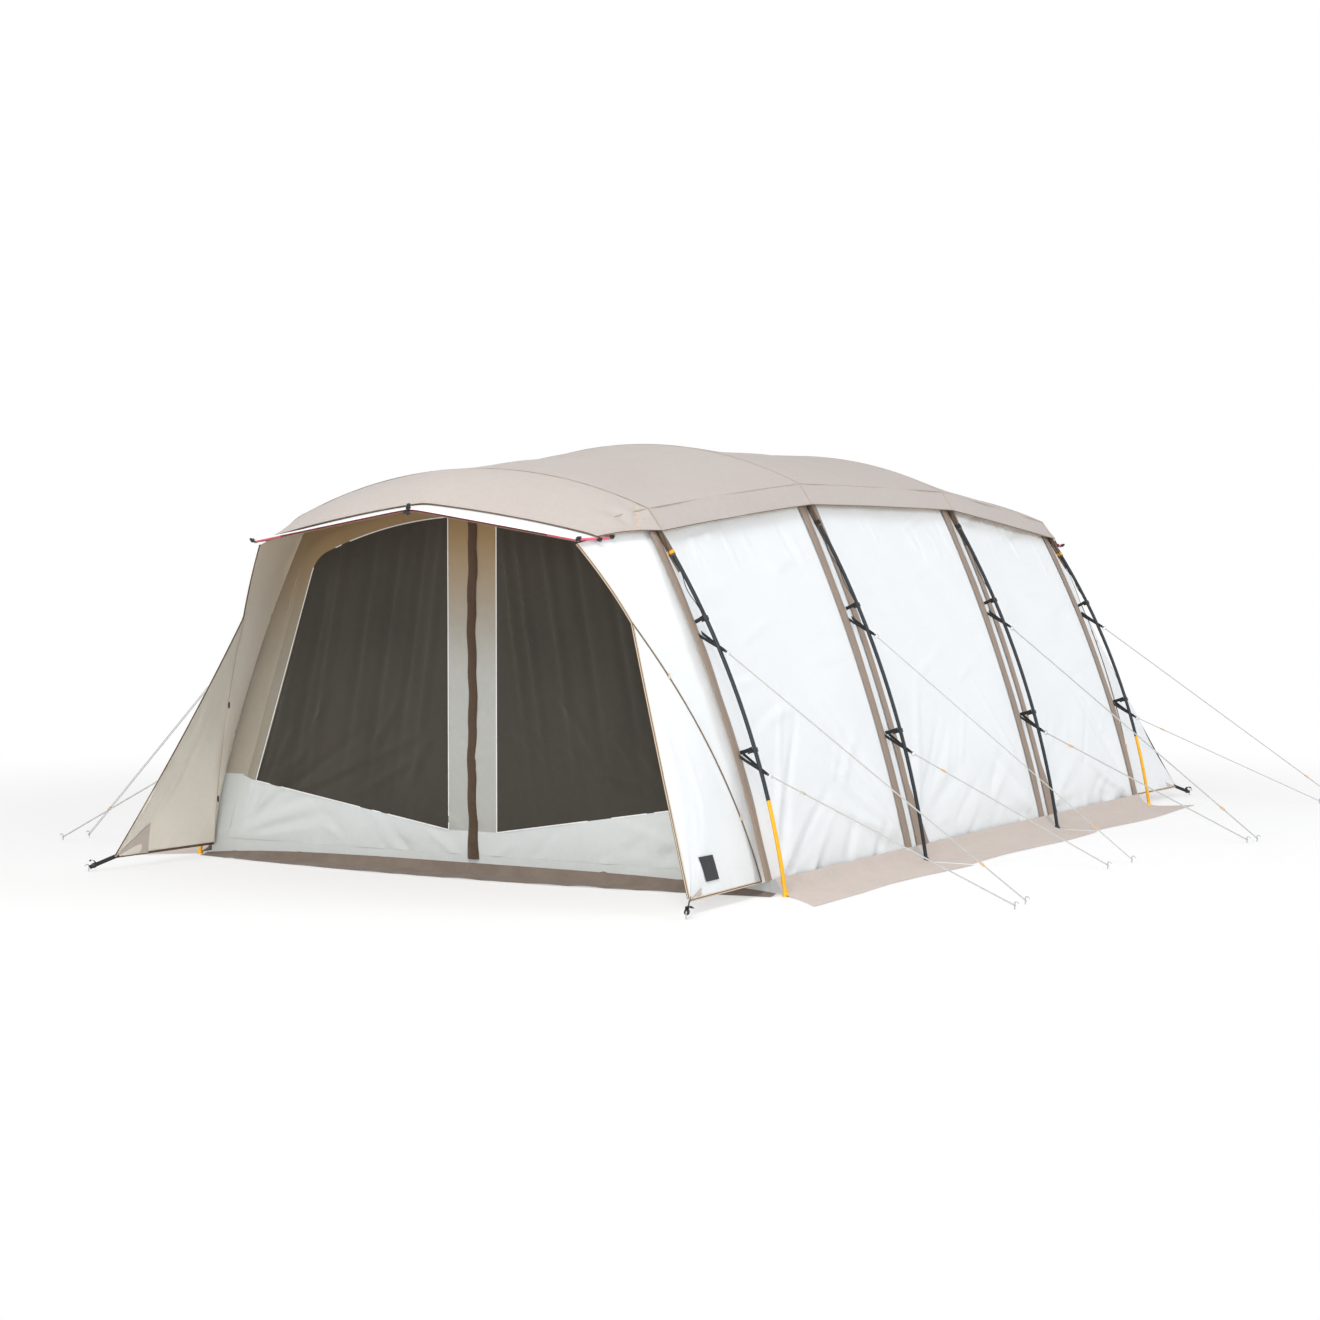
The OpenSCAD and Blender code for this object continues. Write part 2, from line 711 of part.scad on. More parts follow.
// Rows of a side skirt at y: at the hem, on the bend, and two on the ground
function side_skirt_row(y, spread, lift) =
    let (hem_x = hoop_point(mid_arcs, leg_lean_at(mid_arcs, hem_height), seat - foot_stand_off)[0])
    [[hem_x, y, hem_height - cloth - 2 + lift],
     [hem_x + bend_at, y, bend_height + lift],
     [hem_x + ground_at, y, lift],
     [hem_x + spread, y, lift]];

module side_skirt_bay(i) {
    from = hoop_y[i] + skirt_slit;
    to = hoop_y[i + 1] - skirt_slit;
    steps = 6;
    // Spread of the loose edge, wavy along the bay
    function spread(k) = side_skirt - wave_depth * (1 - cos(360 * k / steps + 90 * i));
    rows = function (lift) [for (k = [0 : steps]) side_skirt_row(mix(from, to, k / steps), spread(k), lift)];
    sheet_solid(rows(cloth), rows(0));
}

module side_skirts(side) {
    color(cloth_greige) on_side(side) for (i = [0 : 2]) side_skirt_bay(i);
}

module skirt_left() { side_skirts(-1); }
module skirt_right() { side_skirts(1); }

// Skirt across an end, from the sill out over the ground, widest at its middle
module end_skirt_sheet() {
    steps = 12;
    half = wing_foot[0] - 30;
    top = sill_low - 2 - cloth;
    narrow = 60;
    rows = function (lift) [
        for (k = [0 : steps])
            let (t = 2 * k / steps - 1, spread = mix(end_skirt, narrow, t * t))
            [[t * half, hoop_y[0] - spread, lift],
             [t * half, hoop_y[0] - min(spread - 20, 80), lift],
             [t * half, hoop_y[0] - 12, bend_height + lift],
             [t * half, hoop_y[0], top + lift]]
    ];
    color(cloth_brown) sheet_solid(rows(cloth), rows(0));
}

module skirt_front() { end_skirt_sheet(); }
module skirt_rear() { at_end(1) end_skirt_sheet(); }

/* ---- Leg fittings ---- */

function tie_heights(i) = [(i == 0 || i == 3) ? end_tie_height : mid_tie_height, lower_tie_height];
function clip_heights(i) = [tie_heights(i)[0] + upper_clip_rise, lower_tie_height + lower_clip_rise];
// Pole centre of a leg at a height, as a point in space
function on_leg(i, z, off = 0) =
    let (p = hoop_point(hoops[i], leg_lean_at(hoops[i], z), off)) [p[0], hoop_y[i], p[1]];

clip_height = 20;
clip_r = pole_r + 4;
clip_web = [2, 16];

// Collar that snaps round the leg, with the web that ties it to the wall
module leg_clip(i, z) {
    arcs = hoops[i];
    lean = leg_lean_at(arcs, z);
    reach = stand_off(arcs, lean) - seat;
    translate(on_leg(i, z))
        rotate([0, -lean, 0]) {
            difference() {
                translate([0, 0, -clip_height / 2]) cylinder(r = clip_r, h = clip_height, $fn = 48);
                translate([0, 0, -clip_height])
                    cylinder(r = pole_r + seat / 2, h = 2 * clip_height, $fn = 48);
            }
            translate([-reach, -clip_web[0] / 2, -clip_web[1] / 2])
                cube([reach - clip_r + clip_web[0], clip_web[0], clip_web[1]]);
        }
}

module leg_clips() {
    color(webbing_black)
        for (i = [0 : 3]) for (z = clip_heights(i)) for (side = [-1, 1])
            on_side(side) leg_clip(i, z);
}

// Radius of the elastic cords that hold the roof sheet down
tie_r = 2;

// Elastic cord from the hem of the roof sheet down to a hook beside each upper clip
module roof_tie(i) {
    arcs = hoops[i];
    y = hoop_y[i] - sign(hoop_y[i]) * (sleeve_d / 2 + tie_r + seat);
    hem = roof_section(arcs, sheet_in)[0];
    clip = on_leg(i, clip_heights(i)[0] + clip_height);
    top = [hem[0] - 1, y, hem[1] + 3];
    low = [clip[0], y, clip[2]];
    along(low, top) cylinder(r = tie_r, h = norm(top - low) - 3, $fn = 24);
    translate(low) sphere(2 * tie_r, $fn = 24);
}

module roof_ties() {
    color(webbing_black)
        for (i = [0 : 3]) for (side = [-1, 1])
            on_side(side) roof_tie(i);
}

/* ---- Guys ---- */

eye_bore = ring_wire / 2 + 0.6;
eye_r = 7;
eye_width = 5;
// Width and thickness of the webs of a guy tie, and half their distance apart at the wall
web_width = 10;
web = 1.6;
web_spread = 32;
// Distance from the middle of an eye at which its webs begin
web_start = eye_r - 1.5;
peg_height = 26;
peg_wire = 5;
peg_hook = 9;
// Height at which lines and webs turn round their pegs
line_height = peg_height - 8;

// Direction of a guy tie from the wall out past the leg
tie_out = [cos(tie_slope), 0, -sin(tie_slope)];
// Eye of a guy tie outside the leg, where the ring's near side lies
function eye_point(i, k) = on_leg(i, tie_heights(i)[k]) + tie_reach * tie_out;
// Where a guy line turns round its peg
function peg_point(i, k) = [guy_pegs[i][k][0], guy_pegs[i][k][1], line_height];
function guy_direction(i, k) = unit(peg_point(i, k) - eye_point(i, k));
// Far side of the ring, where the line turns
function line_start(i, k) = eye_point(i, k) + guy_direction(i, k) * 2 * ring_radius;

module guy_ring(i, k) {
    along(eye_point(i, k), peg_point(i, k))
        translate([0, 0, ring_radius])
            rotate([90, 0, 0])
                rotate_extrude($fn = 64)
                    translate([ring_radius, 0])
                        circle(ring_wire / 2, $fn = 32);
}

module guy_rings() {
    color([0.75, 0.76, 0.78])
        for (i = [0 : 3]) for (k = [0, 1]) for (side = [-1, 1])
            on_side(side) guy_ring(i, k);
}

// Two webs from the wall that pass the leg on both sides and meet at a stitched eye
module guy_strap(i, k) {
    arcs = hoops[i];
    z = tie_heights(i)[k];
    lean = leg_lean_at(arcs, z);
    eye = eye_point(i, k);
    to_wall = stand_off(arcs, lean) / cos(lean + tie_slope);
    // The square end of a web stops where its lower corner meets the wall.
    end_cut = web_width / 2 * tan(lean + tie_slope) + seat;
    for (dir = [-1, 1]) {
        anchor = on_leg(i, z) - to_wall * tie_out + [0, dir * web_spread, 0];
        tip = eye + web_start * unit(anchor - eye);
        along(tip, anchor)
            translate([-web_width / 2, -web / 2, 0])
                cube([web_width, web, norm(anchor - tip) - end_cut]);
    }
    along(eye, peg_point(i, k))
        rotate([0, 90, 0])
            difference() {
                translate([0, 0, -eye_width / 2]) cylinder(r = eye_r, h = eye_width, $fn = 32);
                translate([0, 0, -eye_width]) cylinder(r = eye_bore, h = 2 * eye_width, $fn = 32);
            }
}

module guy_straps() {
    color(webbing_black) {
        for (i = [0 : 3]) for (k = [0, 1]) for (side = [-1, 1])
            on_side(side) guy_strap(i, k);
        for (end = [-1, 1]) for (side = [-1, 1])
            at_end(end) on_side(side) wing_strap();
    }
}

// Peg of a wing, out from its ground corner
wing_peg = wing_corner + [54, -122, -wing_corner[2]];
wing_web = [2, 16];

// Web from a wing's ground corner to its peg
module wing_strap() {
    to = wing_peg + [0, 0, line_height];
    from = wing_corner + seat * unit(to - wing_corner);
    along(from, to)
        translate([-wing_web[0] / 2, -wing_web[1] / 2, 0])
            cube([wing_web[0], wing_web[1], norm(to - from) - peg_wire / 2 - seat]);
}

// Closed loop of cord from a ring to a peg, two strands side by side. It bears on the ring's
// wire at one end and on the peg's stem at the other.
module guy_line(i, k) {
    r = strand_gap / 2;
    a = line_start(i, k);
    b = peg_point(i, k);
    d = guy_direction(i, k);
    start = r - cord_r - ring_wire / 2 - seat;
    past_peg = (cord_r + peg_wire / 2 + seat) / norm([d[0], d[1]]);
    length = norm(b - a) + past_peg - r - start;
    along(a, b)
        translate([0, 0, start]) {
            for (s = [-1, 1]) translate([0, s * r, 0]) cylinder(r = cord_r, h = length, $fn = 24);
            rotate([90, 0, 90])
                rotate_extrude(angle = -180, $fn = 48)
                    translate([r, 0])
                        circle(cord_r, $fn = 24);
            translate([0, 0, length])
                rotate([90, 0, 90])
                    rotate_extrude(angle = 180, $fn = 48)
                        translate([r, 0])
                            circle(cord_r, $fn = 24);
        }
}

module guy_lines() {
    color([0.92, 0.92, 0.90])
        for (i = [0 : 3]) for (k = [0, 1]) for (side = [-1, 1])
            on_side(side) guy_line(i, k);
}

// Part of a wire peg above the ground: a stem that ends in a hook turned away from the tent
module peg(x, y, turn) {
    r = peg_wire / 2;
    translate([x, y, 0]) {
        cylinder(r = r, h = peg_height, $fn = 24);
        translate([0, 0, peg_height])
            rotate([0, 0, turn])
                translate([peg_hook, 0, 0])
                    rotate([90, 0, 0])
                        rotate_extrude(angle = 180, $fn = 48)
                            translate([peg_hook, 0])
                                circle(r, $fn = 24);
    }
}

module pegs() {
    color([0.62, 0.63, 0.64])
        for (side = [-1, 1])
            on_side(side) {
                for (i = [0 : 3]) for (k = [0, 1])
                    peg(guy_pegs[i][k][0], guy_pegs[i][k][1], 0);
                for (end = [-1, 1])
                    at_end(end) peg(wing_peg[0], wing_peg[1], -60);
            }
}

// Tensioner that slides on both strands of a guy line: upper ones near the peg, lower ones
// near the ring
module tensioner(side, i, k) {
    a = line_start(i, k);
    b = peg_point(i, k);
    at = k == 0 ? norm(b - a) - upper_tensioner_at : lower_tensioner_at;
    bore = cord_r + seat;
    half = strand_gap / 2 + bore + 3;
    length = 26;
    color([0.80, 0.62, 0.42])
        on_side(side)
            along(a, b)
                translate([0, 0, at])
                    difference() {
                        translate([-bore - 2, -half, 0]) cube([2 * bore + 4, 2 * half, length]);
                        for (s = [-1, 1])
                            translate([0, s * strand_gap / 2, -1])
                                cylinder(r = bore, h = length + 2, $fn = 24);
                    }
}

hoop_1();
hoop_2();
hoop_3();
hoop_4();
end_legs();
mid_legs();
eave_poles();
eave_tips();
roof_front();
roof_bay_1();
roof_bay_2();
roof_bay_3();
roof_rear();
wall_left_1();
wall_left_2();
wall_left_3();
wall_right_1();
wall_right_2();
wall_right_3();
ceiling();
wing_front_left();
wing_front_right();
wing_rear_left();
wing_rear_right();
eave_canopies();
front_wall();
rear_wall();
door_front_left();
door_front_right();
door_rear_left();
door_rear_right();
zip_slider_front();
zip_slider_rear();
skirt_left();
skirt_right();
skirt_front();
skirt_rear();
pole_sleeves();
leg_clips();
roof_ties();
guy_straps();
guy_rings();
guy_lines();
pegs();
tensioner(1, 0, 0);  // tensioner_right_1_upper
tensioner(1, 0, 1);  // tensioner_right_1_lower
tensioner(1, 1, 0);  // tensioner_right_2_upper
tensioner(1, 1, 1);  // tensioner_right_2_lower
tensioner(1, 2, 0);  // tensioner_right_3_upper
tensioner(1, 2, 1);  // tensioner_right_3_lower
tensioner(1, 3, 0);  // tensioner_right_4_upper
tensioner(1, 3, 1);  // tensioner_right_4_lower
tensioner(-1, 0, 0);  // tensioner_left_1_upper
tensioner(-1, 0, 1);  // tensioner_left_1_lower
tensioner(-1, 1, 0);  // tensioner_left_2_upper
tensioner(-1, 1, 1);  // tensioner_left_2_lower
tensioner(-1, 2, 0);  // tensioner_left_3_upper
tensioner(-1, 2, 1);  // tensioner_left_3_lower
tensioner(-1, 3, 0);  // tensioner_left_4_upper
tensioner(-1, 3, 1);  // tensioner_left_4_lower
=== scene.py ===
"""Dresses a four-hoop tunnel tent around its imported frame.

Every sub-assembly of the tent is a class that holds its own sizes, builds its meshes and
gives them their finishes. Lengths are metres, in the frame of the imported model: +X is the
right side, +Y runs to the rear end, +Z is up, and the origin is on the ground under the
middle of the tent.
"""

from __future__ import annotations

import logging
import math
from dataclasses import dataclass, field
from enum import Enum
from typing import Callable, Sequence

import bpy
import numpy as np
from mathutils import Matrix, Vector
from mathutils.geometry import delaunay_2d_cdt


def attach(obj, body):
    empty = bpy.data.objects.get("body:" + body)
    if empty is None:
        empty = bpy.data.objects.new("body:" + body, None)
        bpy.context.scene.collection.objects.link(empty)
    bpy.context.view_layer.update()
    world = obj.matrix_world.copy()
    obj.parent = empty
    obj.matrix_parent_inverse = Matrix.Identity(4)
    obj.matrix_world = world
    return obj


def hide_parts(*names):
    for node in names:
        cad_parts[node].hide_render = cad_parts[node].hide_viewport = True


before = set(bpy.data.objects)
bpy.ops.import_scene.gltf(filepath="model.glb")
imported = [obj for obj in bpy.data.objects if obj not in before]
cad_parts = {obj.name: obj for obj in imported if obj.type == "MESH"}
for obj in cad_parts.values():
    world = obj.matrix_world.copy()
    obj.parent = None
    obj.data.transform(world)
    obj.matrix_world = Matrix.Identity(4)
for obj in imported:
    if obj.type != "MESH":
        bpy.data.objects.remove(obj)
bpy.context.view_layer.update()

log = logging.getLogger("tent")

Pair = tuple[float, float]
Triple = tuple[float, float, float]
Colour = Triple
Piece = bpy.types.Object
Material = bpy.types.Material
Socket = bpy.types.NodeSocket
Points = np.ndarray
Values = np.ndarray | float
UP = np.array([0.0, 0.0, 1.0])
CLOTH = 0.0022  # thickness of most cloths
SEAT = 0.0003  # gap between pieces that lie on each other
PAST = 1e-6  # degrees past the joint of two arcs
THIN = 0.0012  # thickness of the thinner cloths
SKIRT = 0.0014  # thickness of the skirts and bands
CUT_MAP = "cut"


class Way(Enum):
    """A choice of side or end."""

    @property
    def word(self) -> str:
        """Return its name as the pieces use it."""
        return self.name.lower()


class Side(Way):
    """Side of the tent, as the sign of its x."""

    RIGHT = 1
    LEFT = -1


class End(Way):
    """End of the tent, as the sign of its y."""

    FRONT = -1
    REAR = 1


# ---------------------------------------------------------------- small geometry


def mix(a: Values, b: Values, t: Values) -> Points:
    """Return the value a part t of the way from a to b."""
    return np.asarray(a) + (np.asarray(b) - np.asarray(a)) * t


def unit(v: Sequence[float] | Points) -> Points:
    """Return v, or each row of v, with length one."""
    v = np.asarray(v, float)
    return v / np.maximum(np.linalg.norm(v, axis=-1, keepdims=True), 1e-12)


def hump(t: Values) -> Points:
    """Return a curve that is 0 at both ends of 0 to 1 and 1 in the middle."""
    return 4 * np.asarray(t) * (1 - np.asarray(t))


def step(t: Values) -> Points:
    """Return a smooth step from 0 to 1 as t goes from 0 to 1."""
    t = np.clip(t, 0, 1)
    return t * t * (3 - 2 * t)


def inside(points: Points, outline: Points) -> Points:
    """Tell which points lie inside a closed outline.

    Args:
        points: Points in a plane, one a row.
        outline: Corners of the outline in order.

    Returns:
        One truth value for each point.
    """
    x, y = points[:, 0], points[:, 1]
    hit = np.zeros(len(points), bool)
    for (x1, y1), (x2, y2) in zip(outline, np.roll(outline, -1, axis=0)):
        if y1 == y2:
            continue
        crosses = (y1 > y) != (y2 > y)
        hit ^= crosses & (x < (x2 - x1) * (y - y1) / (y2 - y1) + x1)
    return hit


def spaced(path: Points, gap: float, closed: bool = False) -> Points:
    """Return a path with points about gap apart, and its own corners kept.

    Args:
        path: Corners of the path, one a row.
        gap: Largest distance between two points.
        closed: Whether the path returns to its start.

    Returns:
        The denser path, without the first point repeated.
    """
    ends = np.vstack([path, path[:1]]) if closed else path
    found = []
    for a, b in zip(ends[:-1], ends[1:]):
        count = max(1, math.ceil(float(np.linalg.norm(b - a)) / gap))
        found.extend(mix(a, b, k / count) for k in range(count))
    if not closed:
        found.append(path[-1])
    return np.array(found)


# ---------------------------------------------------------------- folds in cloth


@dataclass(frozen=True)
class Fold:
    """A soft ridge in a cloth, along a line of its flat cut.

    Attributes:
        start: Where the ridge is strongest.
        end: Where it has died away.
        width: Half width of the ridge.
        height: Height at the start, below zero for a hollow.
    """

    start: Pair
    end: Pair
    width: float
    height: float


@dataclass
class Folds:
    """All the folds and the slack of one cloth."""

    seed: int
    folds: list[Fold] = field(default_factory=list)
    slack: float = 0.0015
    slack_size: float = 0.35

    def fan(self, origin: Pair, first: float, last: float, count: int,
            length: float, width: float, height: float) -> None:
        """Add folds that spread from a pulled corner.

        Args:
            origin: The corner, on the flat cut.
            first: Direction of the first fold, in degrees.
            last: Direction of the last fold, in degrees.
            count: Number of folds.
            length: Mean length of a fold.
            width: Mean half width of a fold.
            height: Mean height of a fold.
        """
        rng = np.random.default_rng(self.seed + len(self.folds) + count)
        for k in range(count):
            turn = math.radians(first + (last - first) * (k + rng.uniform(0.2, 0.8)) / count)
            reach = length * rng.uniform(0.6, 1.25)
            away = np.array([math.cos(turn), math.sin(turn)])
            start = np.array(origin) + away * length * rng.uniform(0.02, 0.12)
            self.folds.append(Fold(tuple(start), tuple(start + away * reach),
                                   width * rng.uniform(0.7, 1.3),
                                   height * rng.choice([-1, 1]) * rng.uniform(0.6, 1.2)))

    def ripples(self, low: Pair, high: Pair, turn: float,
                count: int, length: float, width: float, height: float) -> None:
        """Add short folds with about one direction, scattered over a patch.

        Args:
            low: Lowest corner of the patch on the flat cut.
            high: Highest corner of the patch.
            turn: Direction of the folds, in degrees.
            count: Number of folds.
            length: Mean length of a fold.
            width: Mean half width of a fold.
            height: Mean height of a fold.
        """
        rng = np.random.default_rng(self.seed + 31 * len(self.folds) + count)
        for _ in range(count):
            at = np.array([rng.uniform(low[0], high[0]), rng.uniform(low[1], high[1])])
            way = math.radians(turn + rng.uniform(-12, 12))
            half = np.array([math.cos(way), math.sin(way)]) * length * rng.uniform(0.3, 0.7)
            self.folds.append(Fold(tuple(at - half), tuple(at + half), width * rng.uniform(0.6, 1.4),
                                   height * rng.choice([-1, 1]) * rng.uniform(0.5, 1.2)))

    def lift(self, cut: Points) -> Points:
        """Return how far each point of the cloth stands off its smooth form.

        Args:
            cut: Places on the flat cut, in the last axis.

        Returns:
            Heights with the shape of cut, less its last axis.
        """
        at = cut.reshape(-1, 2)
        rng = np.random.default_rng(self.seed)
        total = np.zeros(len(at))
        for _ in range(5):
            turn, phase = rng.uniform(0, math.pi), rng.uniform(0, 2 * math.pi)
            pitch = self.slack_size * rng.uniform(0.6, 1.7)
            way = np.array([math.cos(turn), math.sin(turn)])
            total += self.slack / 2.2 * np.sin(at @ way * 2 * math.pi / pitch + phase)
        for f in self.folds:
            start, way = np.array(f.start), np.subtract(f.end, f.start)
            length = float(np.linalg.norm(way))
            way = way / length
            along = (at - start) @ way / length
            across = ((at - start) @ np.array([-way[1], way[0]])) / f.width
            fade = step((along + 0.12) / 0.22) * step((1.05 - along) / 0.75)
            total += f.height * fade * (1 - 0.8 * across**2) * np.exp(-across**2)
        return total.reshape(cut.shape[:-1])


# ---------------------------------------------------------------- mesh making


def new_object(name: str, points: Points, faces: Sequence[Sequence[int]], materials: Sequence[Material],
               ids: Sequence[int] | None = None, cut: Points | None = None, sharp: float = 40.0) -> Piece:
    """Make a smooth shaded mesh object.

    Args:
        name: Name of the piece.
        points: Its points, one a row.
        faces: Its faces, as point numbers.
        materials: Its material slots.
        ids: Material slot of each face.
        cut: Place of each point on the flat cut or along the piece, for the finish.
        sharp: Angle in degrees above which an edge is drawn sharp.

    Returns:
        The new object, linked into the scene.
    """
    mesh = bpy.data.meshes.new(name)
    mesh.from_pydata(np.asarray(points, float).tolist(), [], [list(map(int, f)) for f in faces])
    for material in materials:
        mesh.materials.append(material)
    if ids is not None:
        mesh.polygons.foreach_set("material_index", np.asarray(ids, np.int32))
    if cut is not None:
        layer = mesh.uv_layers.new(name=CUT_MAP)
        corner = np.zeros(len(mesh.loops), np.int32)
        mesh.loops.foreach_get("vertex_index", corner)
        layer.uv.foreach_set("vector", np.asarray(cut, np.float32)[corner].ravel())
    mesh.polygons.foreach_set("use_smooth", np.ones(len(mesh.polygons), bool))
    mesh.set_sharp_from_angle(angle=math.radians(sharp))
    mesh.validate()
    mesh.update()
    obj = bpy.data.objects.new(name, mesh)
    bpy.context.scene.collection.objects.link(obj)
    return obj


def grid_normals(face: Points) -> Points:
    """Return the unit normals of a grid of points, along rows cross along columns."""
    return unit(np.cross(np.gradient(face, axis=0), np.gradient(face, axis=1)))


def grid_faces(rows: int, cols: int, start: int = 0) -> Points:
    """Return the quads of a grid of rows x cols points that begin at point start."""
    k = (np.arange(rows - 1)[:, None] * cols + np.arange(cols - 1)[None, :]).ravel() + start
    return np.stack([k, k + cols, k + cols + 1, k + 1], axis=1)


@dataclass
class ClothGrid:
    """A sheet of cloth woven over a grid of points.

    Attributes:
        name: Name of the piece.
        face: Outer face, rows x columns x 3.
        outer: Finish of the outer face.
        inner: Finish of the inner face, or None for the same one.
        folds: Folds and slack of the cloth.
        flip: Whether the outer face looks against rows cross columns.
        thickness: Thickness of the cloth.
        hold: How firmly each point or row is held against folding, from 0 to 1.
    """

    name: str
    face: Points
    outer: Material
    inner: Material | None = None
    folds: Folds | None = None
    flip: bool = False
    thickness: float = CLOTH
    hold: Points | None = None

    def cut(self) -> Points:
        """Return each point's place on the flat cut, from lengths along rows and columns.

        Returns:
            Places on the flat, in rows and columns as the face has them.
        """
        def walked(p: Points, axis: int) -> Points:
            """Return the way walked from the first point along an axis."""
            leg = np.linalg.norm(np.diff(p, axis=axis), axis=-1)
            return np.insert(np.cumsum(leg, axis=axis), 0, 0, axis=axis)
        u, v = walked(self.face, 0), walked(self.face, 1)
        u = np.broadcast_to(u.mean(axis=1, keepdims=True), u.shape)
        v = v - v[:, -1:] / 2
        return np.stack([u, v], axis=-1)

    def flat(self) -> Triple:
        """Return the width, the length and the area of the cloth before it was hung.

        Returns:
            Width, length and area.
        """
        cut = self.cut()
        a, b = np.diff(self.face, axis=0)[:, :-1], np.diff(self.face, axis=1)[:-1]
        area = float(np.linalg.norm(np.cross(a, b), axis=-1).sum())
        width = float(np.ptp(cut[..., 1]))
        length = float(np.ptp(cut[..., 0]))
        scale = max(1.0, area / (width * length))
        return round(width * scale, 3), round(length, 3), round(area, 4)

    def build(self) -> Piece:
        """Make the sheet as a thin closed mesh and return its object.

        Returns:
            The object.
        """
        rows, cols = self.face.shape[:2]
        cut = self.cut()
        normal = grid_normals(self.face) * (-1 if self.flip else 1)
        face = self.face
        if self.folds is not None:
            lift = self.folds.lift(cut)
            if self.hold is not None:
                lift = lift * (1 - self.hold)
            face = face + normal * lift[..., None]
            normal = grid_normals(face) * (-1 if self.flip else 1)
        back = face - normal * self.thickness
        count = rows * cols
        front_faces = grid_faces(rows, cols)
        back_faces = grid_faces(rows, cols, count)[:, ::-1]
        k = np.arange(count).reshape(rows, cols)
        rim = np.concatenate([k[:, 0], k[-1, 1:], k[-2::-1, -1], k[0, -2:0:-1]])
        after = np.roll(rim, -1)
        rim_faces = np.stack([rim, rim + count, after + count, after], axis=1)[:, ::-1]
        faces = np.concatenate([front_faces, back_faces, rim_faces])
        if self.flip:
            faces = faces[:, ::-1]
        ids = np.repeat([0, 1, 1], [len(front_faces), len(back_faces), len(rim_faces)])
        points = np.concatenate([face.reshape(-1, 3), back.reshape(-1, 3)])
        flat = np.concatenate([cut.reshape(-1, 2)] * 2)
        return new_object(self.name, points, faces, [self.outer, self.inner or self.outer], ids, flat)


